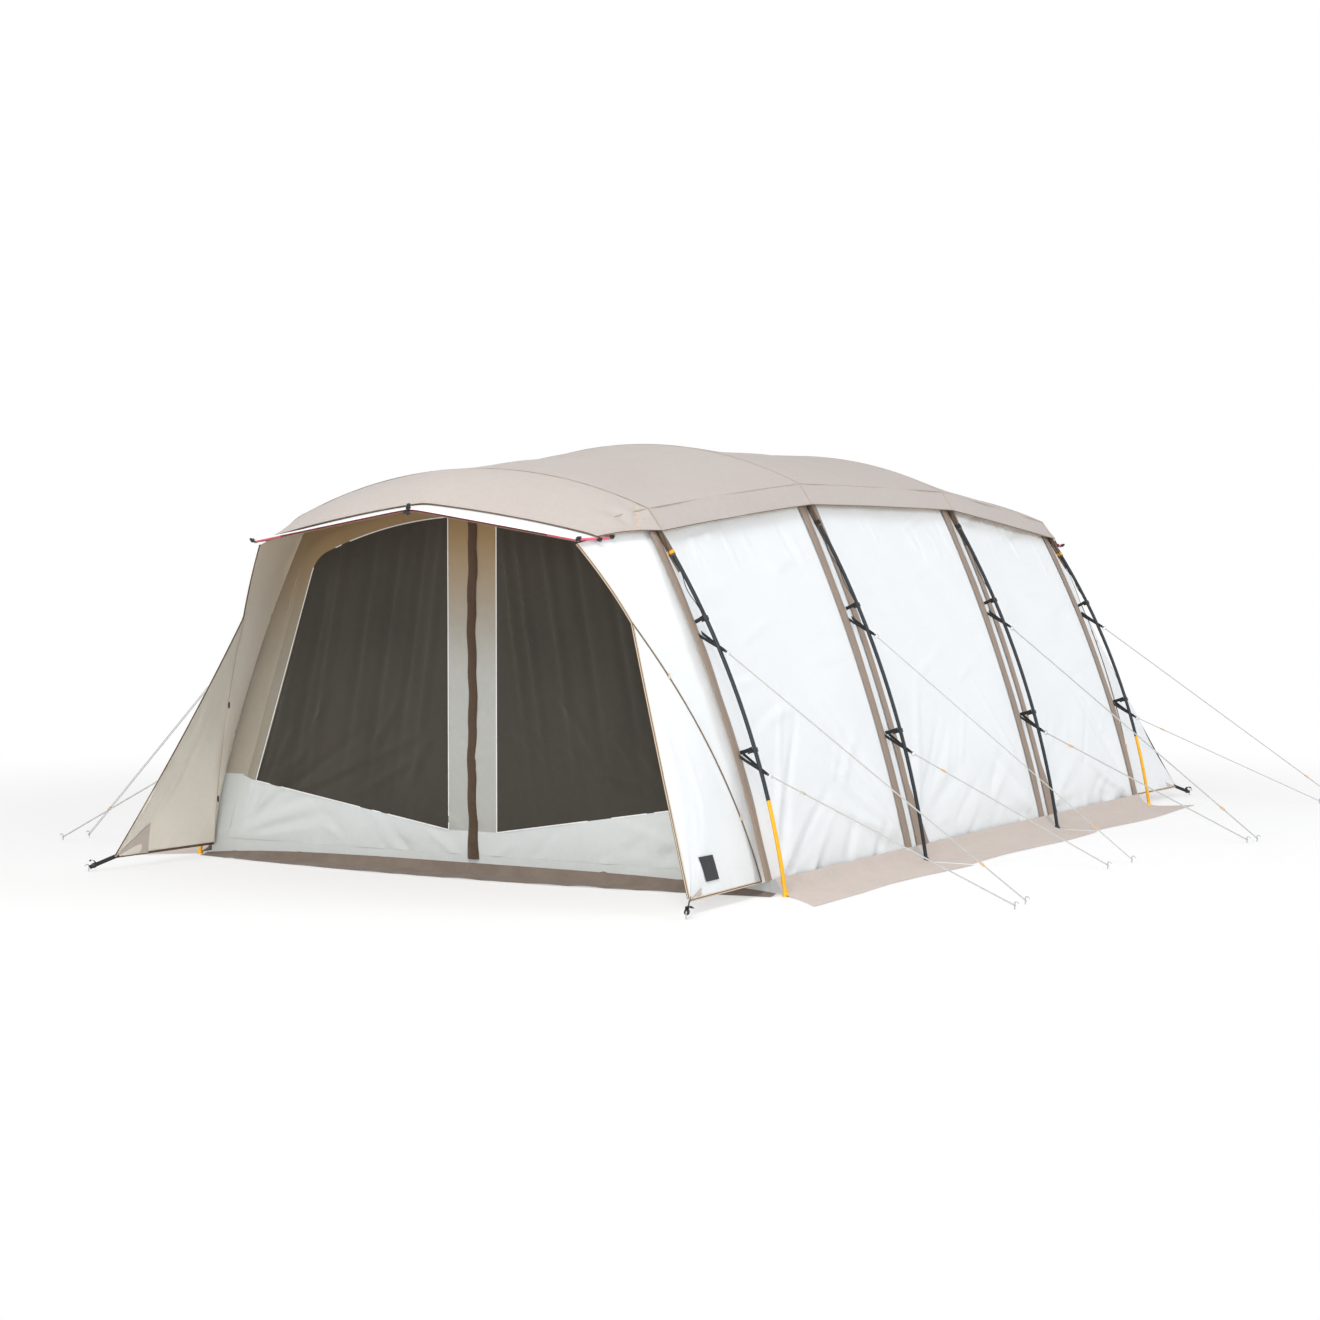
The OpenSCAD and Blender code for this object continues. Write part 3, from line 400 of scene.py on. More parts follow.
@dataclass
class ClothPanel:
    """A flat cut of cloth with any outline, divided into zones by sewn lines.

    Attributes:
        name: Name of the piece.
        outline: Outline on the flat cut.
        place: Gives the points in space of the outer face, from places on the cut.
        outer: Finishes of the outer face, the first one outside all zones.
        inner: Finish of the inner face.
        zones: Outlines of the zones, for the second finish and on.
        hole: Outline that is cut out, or None.
        folds: Folds and slack of the cloth.
        gap: Size of its cells.
        out: Direction that the outer face looks in.
    """

    name: str
    outline: Points
    place: Callable[[Points], Points]
    outer: list[Material]
    inner: Material
    zones: list[Points] = field(default_factory=list)
    hole: Points | None = None
    folds: Folds | None = None
    gap: float = 0.022
    out: Triple = (0.0, -1.0, 0.0)

    def cells(self) -> tuple[Points, Points]:
        """Return the points and the triangles of the cut, with every sewn line an edge.

        Returns:
            The points and the triangles.
        """
        loops = [self.outline, *self.zones] + ([] if self.hole is None else [self.hole])
        lines = [spaced(loop, self.gap, closed=True) for loop in loops]
        low, high = self.outline.min(axis=0), self.outline.max(axis=0)
        xs = np.arange(low[0], high[0], self.gap)
        ys = np.arange(low[1], high[1], self.gap * 0.9)
        grid = np.stack(np.meshgrid(xs, ys, indexing="ij"), axis=-1)
        grid[:, 1::2, 0] += self.gap / 2
        grid = grid.reshape(-1, 2)
        grid = grid[inside(grid, self.outline)]
        if self.hole is not None:
            grid = grid[~inside(grid, self.hole)]
        near = np.full(len(grid), np.inf)
        for line in lines:
            for part in np.array_split(line, max(1, len(line) // 200)):
                away = np.linalg.norm(grid[:, None] - part[None], axis=-1).min(axis=1)
                near = np.minimum(near, away)
        grid = grid[near > 0.6 * self.gap]
        points, edges = [], []
        for line in lines:
            first = len(points)
            points.extend(line.tolist())
            edges.extend((first + k, first + (k + 1) % len(line)) for k in range(len(line)))
        points.extend(grid.tolist())
        found = delaunay_2d_cdt([Vector(p) for p in points], edges, [], 0, 1e-6)
        flat = np.array([tuple(p) for p in found[0]])
        triangles = np.array([f for f in found[2] if len(f) == 3])
        middle = flat[triangles].mean(axis=1)
        keep = inside(middle, self.outline)
        if self.hole is not None:
            keep &= ~inside(middle, self.hole)
        return flat, triangles[keep]

    def build(self) -> Piece:
        """Make the panel as a thin closed mesh and return its object.

        Returns:
            The object.
        """
        flat, triangles = self.cells()
        used, numbers = np.unique(triangles, return_inverse=True)
        flat, triangles = flat[used], numbers.reshape(-1, 3)
        face = self.place(flat)
        normal = np.zeros_like(face)
        a, b, c = (face[triangles[:, k]] for k in range(3))
        flipped = np.cross(b - a, c - a).sum(axis=0) @ np.array(self.out) < 0
        if flipped:
            triangles = triangles[:, ::-1]
        across = np.cross(b - a, c - a) * (-1 if flipped else 1)
        for k in range(3):
            np.add.at(normal, triangles[:, k], across)
        normal = unit(normal)
        if self.folds is not None:
            face = face + normal * self.folds.lift(flat)[:, None]
        back = face - normal * CLOTH
        count = len(flat)
        edges = np.concatenate([triangles[:, [0, 1]], triangles[:, [1, 2]], triangles[:, [2, 0]]])
        key = np.sort(edges, axis=1)
        _, where, times = np.unique(key, axis=0, return_index=True, return_counts=True)
        open_edges = edges[where[times == 1]]
        rim = np.stack([open_edges[:, 1], open_edges[:, 0], open_edges[:, 0] + count,
                        open_edges[:, 1] + count], axis=1)
        middle = flat[triangles].mean(axis=1)
        zone = np.zeros(len(triangles), int)
        for k, loop in enumerate(self.zones):
            zone[inside(middle, loop)] = k + 1
        last = len(self.outer)
        faces = [*triangles.tolist(), *(triangles[:, ::-1] + count).tolist(), *rim.tolist()]
        ids = [*zone.tolist(), *[last] * (len(triangles) + len(rim))]
        return new_object(self.name, np.concatenate([face, back]), faces,
                          [*self.outer, self.inner], ids, np.concatenate([flat, flat]))

    def area(self) -> float:
        """Return the flat area of the cut.

        Returns:
            The area.
        """
        def size(loop: Points) -> float:
            """Return the area inside a loop."""
            x, y = loop[:, 0], loop[:, 1]
            return abs(float(x @ np.roll(y, -1) - y @ np.roll(x, -1))) / 2
        return round(size(self.outline) - (0 if self.hole is None else size(self.hole)), 4)


def frames_along(path: Points, closed: bool) -> tuple[Points, Points]:
    """Return two unit vectors across a path at each of its points, without twist.

    Args:
        path: Points of the path.
        closed: Whether it returns to its start.

    Returns:
        The two vectors, each one a row.
    """
    if closed:
        way = unit(np.roll(path, -1, axis=0) - np.roll(path, 1, axis=0))
    else:
        way = unit(np.gradient(path, axis=0))
    start = np.cross(way[0], UP)
    if np.linalg.norm(start) < 0.1:
        start = np.cross(way[0], [0.0, 1.0, 0.0])
    first = [unit(start)]
    for k in range(1, len(path)):
        v = first[-1] - way[k] * (first[-1] @ way[k])
        first.append(unit(v))
    one = np.array(first)
    return one, np.cross(way, one)


def tube(path: Points, radius: Values, material: Material, sides: int = 10,
         closed: bool = False) -> Piece:
    """Make a round cord, rod or piping along a path, as a part of a piece.

    Args:
        path: Points of its centre line.
        radius: Its radius, or one for each point.
        material: Its finish.
        sides: Number of sides of its section.
        closed: Whether the path returns to its start.

    Returns:
        The new object.
    """
    path = np.asarray(path, float)
    one, two = frames_along(path, closed)
    turn = np.linspace(0, 2 * math.pi, sides, endpoint=False)
    r = np.broadcast_to(np.asarray(radius, float), (len(path),))[:, None, None]
    ring = np.cos(turn)[None, :, None] * one[:, None] + np.sin(turn)[None, :, None] * two[:, None]
    gone = np.concatenate([[0], np.cumsum(np.linalg.norm(np.diff(path, axis=0), axis=1))])
    around = turn * float(np.mean(r))
    cut = np.stack(np.broadcast_arrays(around[None, :], gone[:, None]), axis=-1)
    faces = []
    for a in range(0, (len(path) - (not closed)) * sides, sides):
        b = (a + sides) % (len(path) * sides)
        faces.extend([a + j, a + (j + 1) % sides, b + (j + 1) % sides, b + j] for j in range(sides))
    if not closed:
        faces.append(list(range(sides))[::-1])
        faces.append([(len(path) - 1) * sides + j for j in range(sides)])
    return new_object("tube", (path[:, None] + r * ring).reshape(-1, 3), faces, [material],
                      cut=cut.reshape(-1, 2), sharp=60)


def tape(path: Points, across: Points, width: Values, thickness: float, material: Material,
         cols: int = 3, crown: float = 0.0) -> Piece:
    """Make a flat web, binding or seam along a path, as a part of a piece.

    Args:
        path: Points of its middle line, on its outer face.
        across: Unit vectors across it at each point.
        width: Its width, or one for each point.
        thickness: Its thickness, inward along rows cross across.
        material: Its finish.
        cols: Number of points across it.
        crown: Height of its middle above its edges.

    Returns:
        The new object.
    """
    path, across = np.asarray(path, float), unit(across)
    w = np.broadcast_to(np.asarray(width, float), (len(path),))[:, None, None]
    t = np.linspace(-0.5, 0.5, cols)[None, :, None]
    face = path[:, None] + across[:, None] * w * t
    normal = unit(np.cross(np.gradient(path, axis=0), across))
    face = face + normal[:, None] * crown * (1 - (2 * t) ** 2)
    return ClothGrid("tape", face, material, thickness=thickness).build()


def joined(name: str, parts: Sequence[Piece]) -> Piece:
    """Join objects of one kind into a single piece.

    Args:
        name: Name of the new piece.
        parts: Objects with the same finishes.

    Returns:
        The joined object.
    """
    materials: list[Material] = []
    points, faces, ids, cuts, start = [], [], [], [], 0
    for part in parts:
        mesh = part.data
        materials.extend(m for m in mesh.materials if m not in materials)
        at = np.zeros(len(mesh.vertices) * 3)
        mesh.vertices.foreach_get("co", at)
        uv = np.zeros(len(mesh.loops) * 2, np.float32)
        mesh.uv_layers[0].uv.foreach_get("vector", uv)
        corner = np.zeros(len(mesh.loops), np.int32)
        mesh.loops.foreach_get("vertex_index", corner)
        cut = np.zeros((len(mesh.vertices), 2))
        cut[corner] = uv.reshape(-1, 2)
        points.append(at.reshape(-1, 3))
        cuts.append(cut)
        for polygon in mesh.polygons:
            faces.append([start + v for v in polygon.vertices])
            ids.append(materials.index(mesh.materials[polygon.material_index]))
        start += len(mesh.vertices)
        bpy.data.objects.remove(part)
        bpy.data.meshes.remove(mesh)
    return new_object(name, np.concatenate(points), faces, materials, ids, np.concatenate(cuts))


# ---------------------------------------------------------------- finishes


class Nodes:
    """A node tree that is built from nothing."""

    def __init__(self, owner: Material | bpy.types.World) -> None:
        """Empty the node tree of a material or of the world.

        Args:
            owner: What the tree belongs to.
        """
        owner.use_nodes = True
        self.tree = owner.node_tree
        self.tree.nodes.clear()

    def fill(self, node: bpy.types.Node, inputs: dict[str | int, object]) -> None:
        """Give a node's sockets their values, or link them to the sockets given.

        Args:
            node: The node.
            inputs: Values or sockets, by the name or number of the node's socket.
        """
        for key, value in inputs.items():
            if isinstance(value, Socket):
                self.tree.links.new(value, node.inputs[key])
            else:
                node.inputs[key].default_value = value

    def node(self, kind: str, inputs: dict[str | int, object] | None = None,
             **settings: object) -> bpy.types.Node:
        """Add a node.

        Args:
            kind: Its type, after the words that all types begin with.
            inputs: Values or sockets for its sockets.
            settings: Its own properties.

        Returns:
            The new node.
        """
        made = self.tree.nodes.new("ShaderNode" + kind)
        for key, value in settings.items():
            setattr(made, key, value)
        self.fill(made, inputs or {})
        return made

    def math(self, operation: str, *values: object) -> Socket:
        """Return the result of a sum on sockets and numbers."""
        return self.node("Math", dict(enumerate(values)), operation=operation).outputs[0]

    def ramp(self, value: Socket, low: float, high: float, to_low: float = 0.0,
             to_high: float = 1.0) -> Socket:
        """Return a value with its range low to high spread over to_low to to_high."""
        return self.node("MapRange", {0: value, 1: low, 2: high, 3: to_low, 4: to_high},
                         interpolation_type="SMOOTHSTEP").outputs[0]


class Shader(Nodes):
    """One material's node tree, ending in a Principled shader."""

    def __init__(self, name: str) -> None:
        """Make an empty material with a name.

        Args:
            name: Name of the material.
        """
        self.material = bpy.data.materials.new(name)
        super().__init__(self.material)
        self.surface = self.node("BsdfPrincipled")
        self.out = self.node("OutputMaterial", {"Surface": self.surface.outputs["BSDF"]})

    def noise(self, vector: Socket, scale: float, detail: float = 3.0, roughness: float = 0.5) -> Socket:
        """Return a noise between 0 and 1."""
        return self.node("TexNoise", {"Vector": vector, "Scale": scale, "Detail": detail,
                                      "Roughness": roughness}).outputs["Fac"]

    def stretch(self, vector: Socket, *by: float) -> Socket:
        """Return a vector with each of its parts multiplied."""
        return self.node("VectorMath", {0: vector, 1: by}, operation="MULTIPLY").outputs[0]

    def blend(self, amount: object, *colours: object) -> Socket:
        """Return the second of two colours blended over the first."""
        a, b = ((*c, 1.0) if isinstance(c, tuple) else c for c in colours)
        return self.node("Mix", {0: amount, 6: a, 7: b}, data_type="RGBA").outputs[2]

    def bump(self, height: Socket, distance: float, strength: float,
             normal: Socket | None = None) -> Socket:
        """Return a normal that is tilted by a height.

        Args:
            height: The height.
            distance: Size of its bumps.
            strength: How far it counts.
            normal: Normal that it is laid over, or None.

        Returns:
            The tilted normal.
        """
        inputs = {"Height": height, "Distance": distance, "Strength": strength}
        if normal is not None:
            inputs["Normal"] = normal
        return self.node("Bump", inputs).outputs[0]

    def where(self) -> Socket:
        """Return the place of a point in the tent's frame."""
        return self.node("TexCoord").outputs["Object"]

    def cut(self) -> Socket:
        """Return the place of a point on its flat cut."""
        return self.node("UVMap", uv_map=CUT_MAP).outputs[0]

    def split(self, vector: Socket) -> bpy.types.NodeOutputs:
        """Return the parts of a vector."""
        return self.node("SeparateXYZ", {0: vector}).outputs

    def waves(self, parts: Sequence[Socket], pitch: float) -> list[Socket]:
        """Return a sine along each of some parts of a vector."""
        turns = 2 * math.pi / pitch
        return [self.math("SINE", self.math("MULTIPLY", part, turns)) for part in parts]

    def finish(self, colour: Socket, roughness: object, normal: Socket | None = None,
               **more: float) -> Material:
        """Set the shader's sockets and return the material.

        Args:
            colour: Socket of the base colour.
            roughness: Roughness, or its socket.
            normal: Socket of the normal, or None.
            more: Further sockets by name, with _ for a space.

        Returns:
            The material.
        """
        given = {"Base Color": colour, "Roughness": roughness}
        if normal is not None:
            given["Normal"] = normal
        given.update({key.replace("_", " "): value for key, value in more.items()})
        self.fill(self.surface, given)
        return self.material


@dataclass(frozen=True)
class Finish:
    """A finish made of two colours.

    Attributes:
        name: Name of the finish.
        colour: Main colour.
        other: Colour of its threads, or of its darker, worn or faded places; on a cord, of the painted
            shade in its grooves.
    """

    name: str
    colour: Colour
    other: Colour


@dataclass(frozen=True)
class WovenCloth(Finish):
    """Plain woven cotton and polyester cloth, mottled by its slubs.

    Attributes:
        mottle: Strength of the mottling, 0 to 1.
        thread: Pitch of the threads.
        dust_and_shade_colour: Colour of the dust near the ground, which also stands for painted shade
            there.
        dust_and_shade: Strength of that dust and painted ground shade.
        roughness: Roughness of the cloth.
        sheen: Weight of its soft sheen.
        crush: Height of the small creases.
        painted_glow: Colour of the painted glow of light through the roof sheet.
        painted_glow_strength: Strength of that painted glow at the top.
        rise: Heights between which the painted glow comes in.
    """

    mottle: float = 0.35
    thread: float = 0.0011
    dust_and_shade_colour: Colour = (0.42, 0.36, 0.29)
    dust_and_shade: float = 0.12
    roughness: float = 0.86
    sheen: float = 0.12
    crush: float = 0.0018
    painted_glow: Colour = (0.44, 0.31, 0.16)
    painted_glow_strength: float = 0.0
    rise: Pair = (0.9, 1.72)

    def build(self) -> Material:
        """Make the material.

        Returns:
            The material.
        """
        s = Shader(self.name)
        cut, where = s.cut(), s.where()
        weave = s.math("MULTIPLY", *s.waves(s.split(cut)[:2], self.thread))
        slubs = s.math("ADD", s.noise(s.stretch(cut, 42, 330, 1), 1.0, 2.0),
                       s.noise(s.stretch(cut, 330, 42, 1), 1.0, 2.0))
        heather = s.math("MULTIPLY", slubs, 0.5)
        base = s.blend(s.math("MULTIPLY", s.ramp(heather, 0.36, 0.64), self.mottle), self.colour,
                       self.other)
        for size, detail, rough, low, high, most in ((24.0, 3.0, 0.6, 0.35, 0.75, 0.6 * self.mottle),
                                                     (1.7, 4.0, 0.55, 0.40, 0.72, 0.22)):
            patch = s.ramp(s.noise(where, size, detail, rough), low, high, 0.0, most)
            base = s.blend(patch, base, self.other)
        height = s.split(where)[2]
        # Painted glow: towards the top the colour is tinted as if lit through the roof sheet.
        if self.painted_glow_strength > 0:
            base = s.blend(s.ramp(height, *self.rise, 0.0, self.painted_glow_strength), base, self.painted_glow)
        # Browner, darker patches up to 0.3 m over the ground: dust, and painted shade of the ground.
        dust_and_shade_mask = s.math("MULTIPLY", s.ramp(height, 0.0, 0.30, self.dust_and_shade, 0.0),
                      s.ramp(s.noise(where, 9.0, 5.0, 0.65), 0.3, 0.7))
        base = s.blend(dust_and_shade_mask, base, self.dust_and_shade_colour)
        fine = s.bump(s.math("ADD", s.math("MULTIPLY", weave, 0.5), heather), 0.0004, 0.55)
        soft = s.bump(s.noise(where, 16.0, 4.0, 0.55), self.crush, 0.8, fine)
        rough = s.ramp(heather, 0.3, 0.7, self.roughness - 0.05, self.roughness + 0.05)
        return s.finish(base, rough, soft, Sheen_Weight=self.sheen, Sheen_Roughness=0.5,
                        Specular_IOR_Level=0.25)


@dataclass(frozen=True)
class InsectMesh(Finish):
    """Fine knitted net that looks dark from outside.

    Attributes:
        pitch: Pitch of its holes.
    """

    pitch: float = 0.0016

    def build(self) -> Material:
        """Make the material.

        Returns:
            The material.
        """
        s = Shader(self.name)
        where = s.where()
        net = s.math("MAXIMUM", *s.waves(s.split(s.cut())[:2], self.pitch))
        cloud = s.noise(s.stretch(where, 1.0, 1.0, 0.45), 2.1, 4.0, 0.6)
        haze = s.noise(where, 34.0, 3.0, 0.7)
        base = s.blend(s.ramp(net, -0.2, 0.9), self.other, self.colour)
        base = s.blend(s.ramp(cloud, 0.30, 0.72, 0.0, 0.55), base, self.other)
        base = s.blend(s.ramp(haze, 0.35, 0.70, 0.0, 0.22), base, self.colour)
        normal = s.bump(s.noise(where, 22.0, 3.0), 0.0012, 0.6, s.bump(net, 0.0005, 0.5))
        return s.finish(base, 0.78, normal, Sheen_Weight=0.25, Sheen_Roughness=0.4,
                        Specular_IOR_Level=0.3)


@dataclass(frozen=True)
class PoleTube(Finish):
    """Coloured anodised or lacquered tube with fine scratches along it.

    Attributes:
        metal: Share of metal in its gloss.
        roughness: Roughness of its gloss.
    """

    metal: float = 0.55
    roughness: float = 0.36

    def build(self) -> Material:
        """Make the material.

        Returns:
            The material.
        """
        s = Shader(self.name)
        where = s.where()
        scratch = s.noise(s.stretch(where, 900, 900, 60), 1.0, 2.0)
        rubbed = s.noise(where, 13.0, 4.0, 0.7)
        base = s.blend(s.ramp(scratch, 0.60, 0.74, 0.0, 0.5), self.colour, self.other)
        base = s.blend(s.ramp(rubbed, 0.56, 0.78, 0.0, 0.35), base, self.other)
        rough = s.ramp(rubbed, 0.35, 0.75, self.roughness - 0.06, self.roughness + 0.14)
        return s.finish(base, rough, s.bump(scratch, 0.0002, 0.3), Metallic=self.metal,
                        Specular_IOR_Level=0.5)


@dataclass(frozen=True)
class Moulding(Finish):
    """Moulded plastic with a fine grain and faded, rougher patches.

    Attributes:
        roughness: Roughness.
    """

    roughness: float = 0.48

    def build(self) -> Material:
        """Make the material.

        Returns:
            The material.
        """
        s = Shader(self.name)
        where = s.where()
        patch = s.noise(where, 70.0, 4.0, 0.65)
        base = s.blend(s.ramp(patch, 0.45, 0.80, 0.0, 0.5), self.colour, self.other)
        rough = s.ramp(patch, 0.3, 0.8, self.roughness - 0.07, self.roughness + 0.12)
        grain = s.bump(s.noise(where, 900.0, 2.0), 0.00012, 0.6)
        return s.finish(base, rough, grain, Specular_IOR_Level=0.45)


@dataclass(frozen=True)
class Webbing(Finish):
    """Narrow woven web with ribs across it and a stitched edge.

    Attributes:
        rib: Pitch of the ribs.
        edge: Half distance between its two rows of stitches, 0 for none.
        stitch: Length of a stitch with its gap.
    """

    rib: float = 0.0018
    edge: float = 0.0
    stitch: float = 0.0045

    def build(self) -> Material:
        """Make the material.

        Returns:
            The material.
        """
        s = Shader(self.name)
        where = s.where()
        along, across, _ = s.split(s.cut())
        rib = s.waves([along], self.rib)[0]
        base = s.blend(s.ramp(rib, -0.4, 1.0, 0.0, 0.45), self.colour, self.other)
        base = s.blend(s.ramp(s.noise(where, 26.0, 4.0), 0.45, 0.75, 0.0, 0.3), base, self.other)
        height = s.math("ADD", s.math("MULTIPLY", rib, 0.5), s.noise(where, 420.0, 2.0))
        if self.edge > 0:
            row = s.math("ABSOLUTE", s.math("SUBTRACT", s.math("ABSOLUTE", across), self.edge))
            dash = s.waves([along], self.stitch)[0]
            stitch = s.math("MULTIPLY", s.ramp(row, 0.0004, 0.0009, 1.0, 0.0), s.ramp(dash, -0.3, 0.1))
            base = s.blend(stitch, base, self.other)
            height = s.math("ADD", height, s.math("MULTIPLY", stitch, 1.2))
        return s.finish(base, 0.80, s.bump(height, 0.0004, 0.6), Sheen_Weight=0.2,
                        Sheen_Roughness=0.45, Specular_IOR_Level=0.3)


@dataclass(frozen=True)
class BraidedCord(Finish):
    """Round braided cord, with painted shade in the grooves between its strands.

    Attributes:
        lay: Length of one turn of a strand.
        around: Radius of the cord.
    """

    lay: float = 0.008
    around: float = 0.0016

    def build(self) -> Material:
        """Make the material.

        Returns:
            The material.
        """
        s = Shader(self.name)
        round_it, along, _ = s.split(s.cut())
        turn = s.math("MULTIPLY", round_it, 4 / self.around)
        gone = s.math("MULTIPLY", along, 8 * math.pi / self.lay)
        braid = s.math("MAXIMUM", *(s.math("SINE", s.math(way, turn, gone))
                                    for way in ("ADD", "SUBTRACT")))
        # Painted shade: the grooves between the strands take the darker colour.
        base = s.blend(s.ramp(braid, -0.3, 0.8), self.other, self.colour)
        base = s.blend(s.ramp(s.noise(s.where(), 11.0, 4.0), 0.5, 0.8, 0.0, 0.3), base, self.other)
        return s.finish(base, 0.75, s.bump(braid, 0.0004, 0.7), Sheen_Weight=0.15, Specular_IOR_Level=0.3)


@dataclass(frozen=True)
class BareWire(Finish):
    """Plain steel wire with drawing marks.

    Attributes:
        roughness: Roughness.
    """

    roughness: float = 0.3

    def build(self) -> Material:
        """Make the material.

        Returns:
            The material.
        """
        s = Shader(self.name)
        where = s.where()
        patch = s.noise(where, 110.0, 4.0, 0.7)
        base = s.blend(s.ramp(patch, 0.45, 0.75, 0.0, 0.7), self.colour, self.other)
        rough = s.ramp(patch, 0.35, 0.75, self.roughness, self.roughness + 0.25)
        return s.finish(base, rough, s.bump(s.noise(where, 800.0, 2.0), 0.0001, 0.4), Metallic=1.0)


@dataclass(frozen=True)
class BareGround(Finish):
    """Plain pale floor that keeps the tent's shadow and glows white far from it.

    Attributes:
        fade: Distances between which it fades to white, and its glow at each.
    """

    fade: tuple[float, float, float, float] = (2.6, 7.5, 0.45, 1.0)

    def build(self) -> Material:
        """Make the material.

        Returns:
            The material.
        """
        s = Shader(self.name)
        speck = s.ramp(s.noise(s.where(), 3.0, 3.0), 0.3, 0.7, 0.0, 0.02)
        material = s.finish(s.blend(speck, self.colour, self.other), 0.9, Specular_IOR_Level=0.1)
        far = s.node("VectorMath", {0: s.where()}, operation="LENGTH").outputs["Value"]
        seen = s.node("LightPath").outputs["Is Camera Ray"]
        glow = s.node("Emission", {"Color": (1.0, 1.0, 1.0, 1.0)}).outputs[0]
        both = s.node("MixShader", {0: s.math("MULTIPLY", seen, s.ramp(far, *self.fade)),
                                    1: s.surface.outputs[0], 2: glow}).outputs[0]
        s.fill(s.out, {"Surface": both})
        return material


